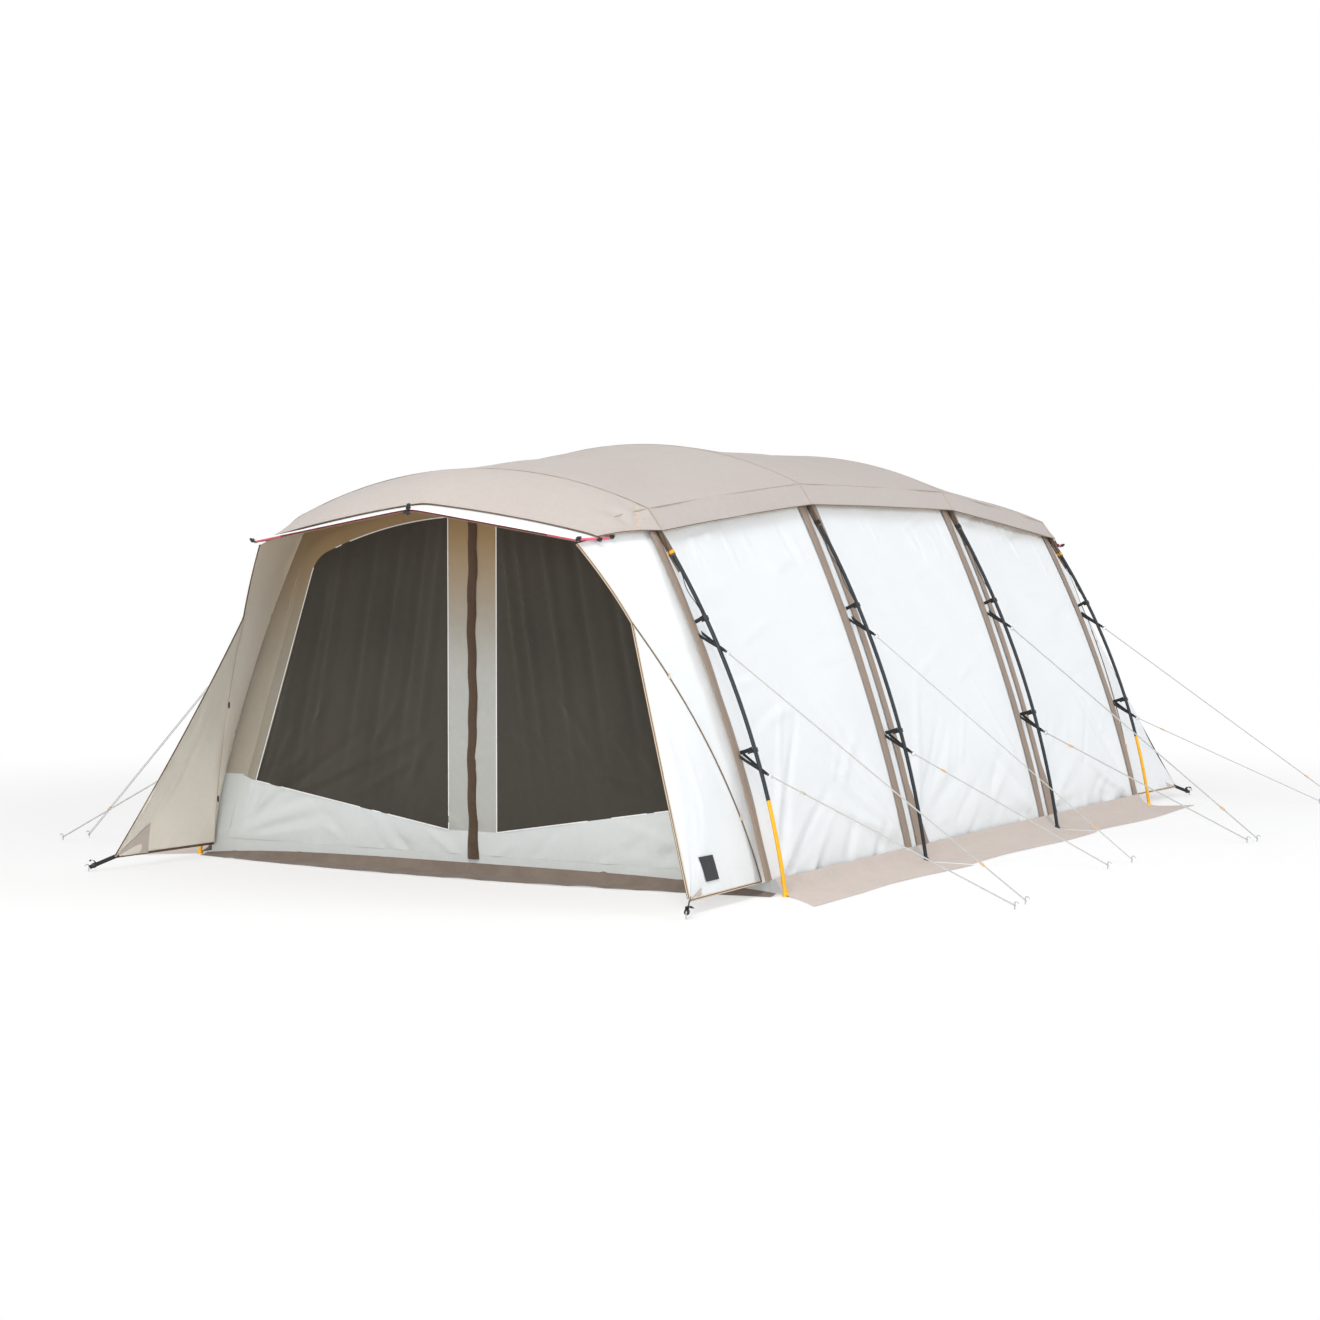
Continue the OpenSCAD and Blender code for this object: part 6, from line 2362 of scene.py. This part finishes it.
@dataclass
class DoorLeaf(Part):
    """One leaf of a double door: mesh in a pale border, over a sill of plain cloth.

    Attributes:
        door: Form of the doors.
        side: Side of the leaf.
        end: End of the tent.
        flap: Half width of the zip flap.
    """

    door: DoorForm
    side: Side
    end: End
    flap: float = 0.025

    def place(self, flat: Points, out: float = 0.0) -> Points:
        """Return points in space from places on the flat right leaf.

        Args:
            flat: Places on the flat, one a row.
            out: Distance out from the cloth.

        Returns:
            Points in space.
        """
        y = self.form.hoops[0].y + 0.0004 - out
        return np.stack([flat[:, 0] * self.side.value,
                         np.broadcast_to(y * -self.end.value, flat[:, 0].shape), flat[:, 1]], axis=1)

    def folds(self) -> Folds:
        """Return the folds of the leaf: long hanging ones and pulls at its lower corners.

        Returns:
            The folds.
        """
        f = Folds(81 + self.side.value + 3 * self.end.value, slack=0.0022, slack_size=0.45)
        rng = np.random.default_rng(f.seed)
        for k in range(7):
            x = 0.18 + 0.15 * k + rng.uniform(-0.04, 0.04)
            top = max(0.5, 1.62 - 1.2 * max(0.0, x - 0.75))
            lean = 0.16 + 0.1 * k / 7
            f.folds.append(Fold((x - lean * 0.2, top), (x + lean, 0.25),
                                rng.uniform(0.020, 0.034), rng.choice([-1, 1]) * 0.012))
        for k in range(8):
            x = rng.uniform(0.25, 1.15)
            f.folds.append(Fold((x, rng.uniform(0.45, 0.9)), (x + rng.uniform(0.15, 0.5),
                                                              rng.uniform(0.3, 0.5)),
                                rng.uniform(0.022, 0.032), 0.008))
        f.fan((1.40, 0.18), 95, 165, 6, 0.80, 0.030, 0.010)
        f.fan((1.50, 0.10), 155, 176, 3, 0.8, 0.032, 0.007)
        f.ripples((0.15, 0.1), (1.3, 0.3), 35, 9, 0.26, 0.026, 0.0050)
        f.ripples((0.01, 0.2), (0.13, 1.6), 25, 26, 0.10, 0.018, 0.0045)
        return f

    def build(self) -> None:
        """Make the leaf, and on the right leaf the flap that covers the zip."""
        p, d = self.palette, self.door
        name = f"door_{self.end.word}_{self.side.word}"
        leaf, mesh = d.leaf(self.form), d.mesh(self.form)
        inner = d.zip_gap / 2
        edge = leaf[leaf[:, 1] < 0.5]
        outer_x = d.half_width - math.tan(math.radians(d.lean)) * 0.42 + 0.01
        low = np.vstack([[inner, d.bottom], [edge[:, 0].max(), d.bottom],
                         [outer_x, 0.42], mesh[1], mesh[0], [inner, d.mesh_low[0]]])
        strip = np.array([[inner, d.mesh_low[0]], [d.strip, d.mesh_low[0]],
                          [d.strip, mesh[-1][1]], [inner, leaf[-1][1]]])
        panel = ClothPanel(f"{name}_cloth", leaf, self.place,
                           [p.tan_strip, p.cream, p.lower, p.cream_pale, p.net], p.net_inner,
                           zones=[d.leaf(self.form, d.tan), low, strip, mesh], folds=self.folds(),
                           out=(0.0, float(self.end.value), 0.0), gap=0.020)
        width, height = (round(float(size), 3) for size in np.ptp(leaf, axis=0))
        declared(on_body(panel.build(), name), name, (width, height), panel.area(),
                 "hung", f"{self.end.word}_wall")
        self.seam(name, mesh)
        if self.side is Side.RIGHT:
            self.cover(name)
        log.info("%s, %.2f m2", name, panel.area())

    def seam(self, name: str, mesh: Points) -> None:
        """Make the stitched tape round the mesh.

        Args:
            name: Name of the leaf.
            mesh: Outline of the mesh.
        """
        line = spaced(mesh, 0.02, closed=True)
        at = self.place(np.vstack([line, line[:1]]), 0.0012)
        across = np.cross(unit(np.gradient(at, axis=0)), [0.0, float(self.end.value), 0.0])
        tapes = tape(at, across, 0.005, 0.0008, self.palette.white_seam)
        on_body(joined(f"{name}_tapes", [tapes]), name)

    def cover(self, name: str) -> None:
        """Make the flap over the zip, arched so that the slider runs under it.

        Args:
            name: Name of the leaf.
        """
        top = float(self.door.leaf(self.form)[-1][1]) - 0.01
        rows = []
        rng = np.random.default_rng(5)
        for z in np.linspace(self.door.bottom - 0.02, top, 70):
            low = math.exp(-max(0.0, z - self.door.bottom) / 0.10)
            sway = 0.004 * math.sin(9 * z + rng.uniform(0, 0.3)) + 0.0025 * math.sin(31 * z)
            half = self.flap * (1 + 0.35 * low)
            cols = []
            for c in np.linspace(1, -1, 11):
                rise = 0.0025 + 0.0095 * math.cos(math.pi / 2 * c) ** 0.7 + 0.008 * low * (1 - c * c)
                cols.append([c * half + sway, rise, z])
            rows.append(cols)
        flat = np.array(rows)
        y = self.form.hoops[0].y
        face = np.stack([flat[..., 0], (y - flat[..., 1]) * -self.end.value, flat[..., 2]], axis=-1)
        obj = ClothGrid(f"zip_flap_{self.end.word}", face, self.palette.flap,
                        flip=self.end is End.REAR, thickness=THIN).build()
        on_body(obj, name)


@dataclass
class SideSkirt(Part):
    """Mud skirt along one side, from the wall hems out over the ground.

    Attributes:
        side: Side of the tent.
        spread: Width of the skirt.
        slit: Half width of the slit at each leg.
        top: Height of its sewn edge.
        flare: Distance that its outer corners reach past the end hoops.
    """

    side: Side
    flare: float = 0.27
    spread: float = 0.330
    slit: float = 0.026
    top: float = 0.0755

    def bay(self, k: int) -> ClothGrid:
        """Return the skirt of one bay.

        Args:
            k: Number of the bay from the front.

        Returns:
            The skirt.
        """
        hoops = self.form.hoops
        hem = float(hoops[1].leg(self.form.hem_height, -self.form.foot_gap)[0])
        first, last = hoops[k].y + self.slit, hoops[k + 1].y - self.slit
        flare = [self.flare * (k == 0), self.flare * (k == 2)]
        rng = np.random.default_rng(90 + k)
        y = np.linspace(first, last, 90)
        part = (y - first) / (last - first)
        wave = sum(rng.uniform(0.4, 1) * np.sin(part * rng.uniform(6, 26) + rng.uniform(0, 6))
                   for _ in range(4)) / 4
        width = self.spread - 0.020 * (1 - np.cos(2 * math.pi * part + k * math.pi / 2))
        width = width + 0.007 * wave
        cols = np.concatenate([np.linspace(0, 0.12, 10), np.linspace(0.12, 1, 22)[1:]])
        rows = []
        for j in range(len(y)):
            reach = 0.004 + cols * width[j]
            out = np.clip(reach / self.spread, 0, 1) ** 1.5
            pull = flare[1] * part[j] ** 3 - flare[0] * (1 - part[j]) ** 3
            fall = self.top * np.exp(-(reach / 0.040) ** 1.3)
            lifted = 0.0026 + 0.006 * np.clip(wave[j] + 0.2, 0, 1) * step(cols) * (
                0.5 + 0.5 * math.sin(17 * part[j] + k))
            rows.append(np.stack([hem + reach, y[j] + out * pull, fall + lifted], axis=1))
        folds = Folds(95 + k + self.side.value, slack=0.0)
        folds.ripples((0.05, -0.16), (last - first - 0.05, -0.02), 84, 16, 0.13, 0.014, 0.005)
        folds.ripples((0.05, -0.05), (last - first - 0.05, 0.16), 62, 12, 0.22, 0.016, 0.0035)
        face = np.array(rows)
        sheet = ClothGrid(f"skirt_{k}", face, self.palette.skirt,
                          flip=self.side is Side.RIGHT, thickness=SKIRT)
        lift = np.abs(folds.lift(sheet.cut()))
        sheet.face = (face + lift[..., None] * UP) * np.array([self.side.value, 1, 1])
        return sheet

    def build(self) -> None:
        """Make the three bays."""
        name = f"skirt_{self.side.word}"
        sheets = [self.bay(k) for k in range(3)]
        sizes = [sheet.flat() for sheet in sheets]
        length, area = sum(s[1] for s in sizes), sum(s[2] for s in sizes)
        obj = on_body(joined(f"{name}_cloth", [sheet.build() for sheet in sheets]))
        width = max(max(s[0] for s in sizes), round(area / length, 3) + 0.001)
        declared(obj, name, (width, round(length, 3)), round(area, 4), "laid", f"wall_{self.side.word}_1")
        log.info("%s %.2f x %.2f m", name, width, length)


@dataclass
class EndSkirt(Part):
    """Dark mud skirt across an end.

    Attributes:
        end: End of the tent.
        half_length: Half its length.
        spread: Its width in the middle and at its ends.
        top: Height of its sewn edge.
    """

    end: End
    half_length: float = 1.650
    spread: Pair = (0.205, 0.056)
    top: float = 0.050

    def build(self) -> None:
        """Make the skirt."""
        y0 = self.form.hoops[0].y
        rng = np.random.default_rng(110 + self.end.value)
        t = np.linspace(-1, 1, 150)
        wave = sum(rng.uniform(0.4, 1) * np.sin(t * rng.uniform(6, 32) + rng.uniform(0, 6))
                   for _ in range(5)) / 5
        width = mix(self.spread[0], self.spread[1], t * t) + 0.012 * wave * (1 - t**4)
        cols = np.concatenate([np.linspace(0, 0.3, 9), np.linspace(0.3, 1, 13)[1:]])
        rows = []
        for j in range(len(t)):
            reach = cols * width[j]
            high = self.top * (1 - 0.8 * t[j] ** 4)
            fall = high * np.exp(-(reach / (0.022 + 0.006 * wave[j])) ** 1.2)
            lifted = 0.0022 + 0.010 * abs(wave[j]) * cols * (1 - t[j] ** 4)
            rows.append(np.stack([np.full(len(cols), t[j] * self.half_length),
                                  y0 - 0.002 - reach, fall + lifted], axis=1))
        face = np.array(rows)
        sheet = ClothGrid(f"skirt_{self.end.word}_cloth", face, self.palette.end_skirt,
                          flip=self.end is End.FRONT, thickness=SKIRT)
        folds = Folds(115 + self.end.value, slack=0.0)
        folds.ripples((0.1, -0.1), (3.0, 0.05), 80, 30, 0.09, 0.012, 0.006)
        lift = np.abs(folds.lift(sheet.cut()))
        sheet.face = (face + lift[..., None] * UP) * np.array([1, -self.end.value, 1])
        self.hang(sheet, "end_skirt_cloth", f"skirt_{self.end.word}", "laid", f"{self.end.word}_wall")


@dataclass
class PoleSleeves(Part):
    """Brown sleeves round the upper part of the hoops, with the gussets that end them.

    Attributes:
        starts: Heights at which the sleeves begin, on the end and the middle hoops.
    """

    starts: Pair = (1.537, 1.690)

    def half(self, k: int) -> list[Piece]:
        """Make the right half of one hoop's sleeve and its gusset.

        Args:
            k: Number of the hoop from the front.

        Returns:
            The sleeve and the gusset.
        """
        hoop = self.form.hoops[k]
        first = hoop.lean_at(self.starts[0] if k in (0, 3) else self.starts[1])
        leans = np.concatenate([np.linspace(first, hoop.arcs[0].last, 14),
                                np.linspace(hoop.arcs[0].last, hoop.arcs[1].last, 10)[1:],
                                np.linspace(hoop.arcs[1].last, 90, 34)[1:]])
        ripple = 0.0005 * np.sin(leans * 2.1 + k)
        sleeve = tube(hoop.at(leans), self.form.sleeve_radius - 0.0006 + ripple,
                      self.palette.brown_dark, 18)
        low = np.linspace(first - 1.2, hoop.arcs[0].last, 16)
        rows = []
        for lean, wide in zip(low, np.linspace(0.25, 1.0, len(low)) ** 0.8):
            gap = float(hoop.gap(lean))
            near = 0.012 if lean >= first else 0.010
            offs = np.linspace(-near - (gap - near) * wide + 0.001, -near, 6)
            points = hoop.at(np.full(6, lean), offs)
            points[:, 1] += 0.003 * np.sin(np.linspace(0, math.pi, 6)) * math.sin(lean * 1.7)
            rows.append(points)
        gusset = ClothGrid("gusset", np.array(rows), self.palette.brown_dark, thickness=THIN).build()
        return [sleeve, gusset]

    def mark(self, k: int) -> Piece:
        """Make the web that ends a sleeve: yellow on the end hoops, black on the others.

        Args:
            k: Number of the hoop from the front.

        Returns:
            The web.
        """
        hoop = self.form.hoops[k]
        first = hoop.lean_at(self.starts[0] if k in (0, 3) else self.starts[1])
        turn = np.linspace(0, 2 * math.pi, 29)
        centre = hoop.at(first + 0.25)
        out, along = hoop.out(first), np.cross(hoop.out(first), [0, 1, 0])
        radius = self.form.sleeve_radius + 0.0012
        ring = centre + radius * (np.cos(turn)[:, None] * out + np.sin(turn)[:, None] * [0, 1.0, 0])
        material = self.palette.yellow_web if k in (0, 3) else self.palette.web
        wide = 0.016 if k in (0, 3) else 0.022
        mark = tape(ring, np.tile(along, (29, 1)), wide, 0.0011, material)
        wings = []
        for way in (-1, 1):
            offs = np.linspace(-0.004, -float(hoop.gap(first)) * 0.62, 8)
            flat = hoop.at(np.full(8, first + 0.35), offs) + np.array([0, way * 0.0035, 0])
            wings.append(tape(flat, np.tile(along, (8, 1)), wide, 0.0011, material))
        return joined("mark", [mark, *wings])

    def build(self) -> None:
        """Make all the sleeves and their end webs."""
        self.both_sides("pole_sleeves", lambda: [o for k in range(4) for o in self.half(k)],
                        "sleeve_cloth", "pole_sleeves")
        self.both_sides("sleeve_webs", lambda: [self.mark(k) for k in range(4)], "sleeve_cloth")


@dataclass(frozen=True)
class GuySet:
    """Places of the guy ties, rings, lines and pegs.

    Attributes:
        form: The tent's form.
        pegs: Pegs of the right side for each hoop: upper line, lower line.
        tie_heights: Heights of the ties: upper on the end hoops, upper on the others, lower.
        tie_reach: Distance from the pole centre out to an eye.
        tie_slope: Slope of the ties below level, in degrees.
        ring_radius: Radius of a ring to the middle of its wire.
        ring_wire: Thickness of a ring's wire.
        line_height: Height at which the lines turn round their pegs.
        strand_gap: Distance between the strands of a line.
        cord: Diameter of the lines.
        peg_wire: Thickness of a peg's wire.
    """

    form: TentForm
    pegs: tuple[tuple[Pair, Pair], ...] = (
        ((2.732, -2.150), (2.755, -2.330)), ((2.611, -0.433), (2.593, -0.730)),
        ((2.866, 0.830), (2.838, 0.740)), ((2.630, 3.300), (2.563, 3.130)))
    tie_heights: Triple = (1.109, 1.146, 0.556)
    tie_reach: float = 0.036
    tie_slope: float = 15.0
    ring_radius: float = 0.011
    ring_wire: float = 0.004
    line_height: float = 0.018
    strand_gap: float = 0.011
    cord: float = 0.0044
    peg_wire: float = 0.005

    def height(self, hoop: int, lower: bool) -> float:
        """Return the height of a tie."""
        return self.tie_heights[2] if lower else self.tie_heights[0 if hoop in (0, 3) else 1]

    def tie_out(self) -> Points:
        """Return the direction of a tie from the wall out past the leg."""
        a = math.radians(self.tie_slope)
        return np.array([math.cos(a), 0.0, -math.sin(a)])

    def eye(self, hoop: int, lower: bool) -> Points:
        """Return the eye of a tie."""
        leg = self.form.hoops[hoop].leg(self.height(hoop, lower))
        return leg + self.tie_reach * self.tie_out()

    def peg(self, hoop: int, lower: bool) -> Points:
        """Return where a line turns round its peg."""
        return np.array([*self.pegs[hoop][1 if lower else 0], self.line_height])

    def axes(self, hoop: int, lower: bool) -> Points:
        """Return three directions, one a row: across the line upward, level, along it.

        Args:
            hoop: Number of the hoop from the front.
            lower: Whether it is the lower one.

        Returns:
            The directions.
        """
        z = unit(self.peg(hoop, lower) - self.eye(hoop, lower))
        y = unit(np.cross(UP, z))
        return np.stack([np.cross(y, z), y, z])


@dataclass
class GuyPart(Part):
    """A sub-assembly with pieces at each guy tie or clip.

    Attributes:
        guys: Places of the ties.
    """

    guys: GuySet

    def ties(self, make: Callable[[int, bool], Piece | list[Piece]]) -> list[Piece]:
        """Return what a method makes for each tie of the right side, upper and lower."""
        made = [make(hoop, lower) for hoop in range(4) for lower in (False, True)]
        return [obj for some in made for obj in (some if isinstance(some, list) else [some])]


@dataclass
class GuyLines(GuyPart):
    """White braided guy lines, each a loop from its ring to its peg."""

    def loop(self, hoop: int, lower: bool) -> Piece:
        """Make one line.

        Args:
            hoop: Number of the hoop from the front.
            lower: Whether it is the lower one.

        Returns:
            The line.
        """
        g = self.guys
        _, y, z = g.axes(hoop, lower)
        start = g.eye(hoop, lower) + z * 2 * g.ring_radius
        r = g.strand_gap / 2
        first = r - g.cord / 2 - g.ring_wire / 2 - SEAT
        past = (g.cord / 2 + g.peg_wire / 2 + SEAT) / math.hypot(z[0], z[1])
        last = float(np.linalg.norm(g.peg(hoop, lower) - start)) + past - r
        turn = np.linspace(0, math.pi, 13)
        near = np.stack([r * np.cos(-turn), first + r * np.sin(-turn)], axis=1)
        far = np.stack([-r * np.cos(turn), last + r * np.sin(turn)], axis=1)
        flat = spaced(np.vstack([near, far]), 0.05, closed=True)
        path = start + flat[:, :1] * y + flat[:, 1:] * z
        return tube(path, g.cord / 2, self.palette.cord, 8, closed=True)

    def build(self) -> None:
        """Make the lines of both sides."""
        self.both_sides("guy_lines", lambda: self.ties(self.loop), "guy_cord", "guy_lines")


@dataclass
class GuyStraps(GuyPart):
    """Black webs from the walls round the legs to the rings, and from the wings to their pegs.

    Attributes:
        spread: Half distance between the webs of a tie at the wall.
        climb: Height of their ends on the wall above the eye.
        width: Width of the webs.
    """

    spread: float = 0.032
    climb: float = 0.055
    width: float = 0.013

    def tie(self, hoop: int, lower: bool) -> list[Piece]:
        """Make the webs of one tie with the loop round its ring.

        Args:
            hoop: Number of the hoop from the front.
            lower: Whether it is the lower one.

        Returns:
            The webs and the loop.
        """
        g = self.guys
        h = self.form.hoops[hoop]
        z = g.height(hoop, lower)
        lean = h.lean_at(z)
        eye, out = g.eye(hoop, lower), g.tie_out()
        reach = float(h.gap(lean)) / math.cos(math.radians(lean + g.tie_slope))
        parts = []
        for way in (-1, 1):
            wall = h.leg(z) - (reach + 0.004) * out + np.array([0, way * self.spread, 0])
            wall = h.leg(z + self.climb) + (wall - h.leg(z))
            tip = eye + 0.0045 * unit(wall - eye) - out * 0.001
            path = mix(tip, wall, np.linspace(0, 1, 12)[:, None])
            path = path - [0, 0, 0.0015] * hump(np.linspace(0, 1, 12))[:, None]
            level = unit(np.cross(UP, wall - tip))
            across = np.cross(level, unit(wall - tip))
            parts.append(tape(path, np.tile(across, (12, 1)), self.width, 0.0014, self.palette.web))
        x, y, line = g.axes(hoop, lower)
        turn = np.linspace(0, 2 * math.pi, 21)
        loop = eye + 0.0034 * (np.cos(turn)[:, None] * y + np.sin(turn)[:, None] * line)
        parts.append(tape(loop, np.tile(x, (21, 1)), 0.011, 0.0011, self.palette.web))
        return parts

    def corner(self, end: End) -> Piece:
        """Make the web from a wing's ground corner to its peg.

        Args:
            end: End of the tent.

        Returns:
            The web.
        """
        corner = np.array(self.form.wing_corner)
        peg = corner + np.array([0.054, -0.122, self.guys.line_height - corner[2]])
        t = np.linspace(-0.18, 0.965, 14)[:, None]
        path = mix(corner, peg, t)
        level = unit(np.cross(UP, peg - corner))
        edge = unit(np.cross(peg - corner, level)) + 0.5 * level
        web = tape(path, np.tile(unit(edge), (14, 1)), 0.020, 0.0022, self.palette.web)
        lock = path[11] + np.linspace(-1, 1, 7)[:, None] * 0.015 * unit(peg - corner)
        buckle = tube(lock, np.array([0.006, 0.011, 0.013, 0.013, 0.013, 0.011, 0.006]),
                      self.palette.black, 10)
        tail = path[10] + np.array([[0, 0, 0.006], [0.006, -0.010, 0.020], [0.020, -0.016, 0.024],
                                    [0.034, -0.012, 0.014]])
        loose = tape(spaced(tail, 0.006), np.tile(level, (len(spaced(tail, 0.006)), 1)),
                     0.018, 0.0018, self.palette.web)
        return to_corner(joined("corner", [web, buckle, loose]), Side.RIGHT, end)

    def build(self) -> None:
        """Make the webs of both sides."""
        self.both_sides("guy_straps", lambda: self.ties(self.tie) + [self.corner(end) for end in End],
                        "webbing", "guy_straps")


@dataclass
class ClipWebs(GuyPart):
    """Black webs from the leg clips in to the walls.

    Attributes:
        rises: Heights of the clips above their ties, upper and lower.
        width: Width of the webs.
    """

    rises: Pair = (0.151, 0.110)
    width: float = 0.018

    def one(self, hoop: int, lower: bool) -> Piece:
        """Make the web of one clip.

        Args:
            hoop: Number of the hoop from the front.
            lower: Whether it is the lower one.

        Returns:
            The web.
        """
        h = self.form.hoops[hoop]
        lean = h.lean_at(self.guys.height(hoop, lower) + self.rises[1 if lower else 0])
        offs = np.linspace(-self.form.pole_radius - 0.002, -float(h.gap(lean)) - 0.002, 9)
        path = h.at(np.full(9, lean), offs) - [0, 0, 0.002] * hump(
            np.linspace(0, 1, 9))[:, None]
        along = np.cross(h.out(lean), [0.0, 1.0, 0.0])
        return tape(path, np.tile(along, (9, 1)), self.width, 0.0016, self.palette.web)

    def build(self) -> None:
        """Make the webs of both sides."""
        self.both_sides("clip_webs", lambda: self.ties(self.one), "webbing")


@dataclass
class RoofTies(GuyPart):
    """Elastic cords that draw the roof sheet's hem down to the upper leg clips.

    Attributes:
        clip_rise: Height of the upper clips above the upper ties.
    """

    clip_rise: float = 0.141

    def one(self, hoop: int) -> list[Piece]:
        """Make one elastic with its hook and the loop at the hem.

        Args:
            hoop: Number of the hoop from the front.

        Returns:
            The cord, the hook and the loop.
        """
        h = self.form.hoops[hoop]
        y = h.y - self.form.sleeve_radius - 0.0023
        hem = self.form.roof_half(h, self.form.sleeve_radius + SEAT)[0]
        clip = h.leg(self.guys.height(hoop, False) + self.clip_rise + 0.020)
        top = np.array([hem[0] - 0.001, y, hem[2] + 0.003])
        low = np.array([clip[0], y, clip[2]])
        t = np.linspace(0, 1, 28)[:, None]
        sway = 0.5 - 0.5 * np.cos(2 * math.pi * t * (2 + hoop % 2))
        path = mix(top, low, t) + [0.004, -0.014, 0.002] * hump(t)
        path = path - [0.006, 0.022, 0] * sway * hump(t)
        cord = tube(path, 0.0019, self.palette.elastic, 10)
        turn = np.linspace(-0.5 * math.pi, 1.0 * math.pi, 14)
        hook = low + np.stack([np.zeros(14), -0.001 + 0.0027 * (1 - np.cos(turn)),
                               -0.006 + 0.006 * np.sin(turn)], axis=1)
        bend = tube(hook, 0.0016, self.palette.black, 8)
        ferrule = tube(np.array([low + [0, 0, 0.002], low + [0, 0, 0.012], low + [0, 0, 0.022]]), 0.0032,
                       self.palette.black, 12)
        return [cord, bend, ferrule]

    def build(self) -> None:
        """Make the elastics of both sides."""
        self.both_sides("roof_ties", lambda: [o for k in range(4) for o in self.one(k)],
                        "webbing", "roof_ties")


def main() -> None:
    """Build the tent and the studio."""
    logging.basicConfig(level=logging.INFO, format="%(name)s: %(message)s")
    studio = Studio()
    studio.camera()
    palette, form, door = Palette(), TentForm(), DoorForm()
    guys = GuySet(form)
    GuyLines(form, palette, guys).build()
    studio.build()
    Rigid(palette).dress()
    RoofSheet(form, palette).build()
    for end in End:
        EaveCanopy(form, palette, end).build()
        EavePole(form, palette, end).build()
    Ceiling(form, palette).build()
    for side in Side:
        for bay in range(3):
            SideWall(form, palette, side, bay).build()
        SideSkirt(form, palette, side).build()
    HoopBands(form, palette).build()
    for end in End:
        EndWall(form, palette, door, end).build()
        EndSkirt(form, palette, end).build()
        for side in Side:
            CornerWing(form, palette, side, end).build()
            DoorLeaf(form, palette, door, side, end).build()
    PoleSleeves(form, palette).build()
    ClipWebs(form, palette, guys).build()
    RoofTies(form, palette, guys).build()
    GuyStraps(form, palette, guys).build()


if __name__ == "__main__":
    main()
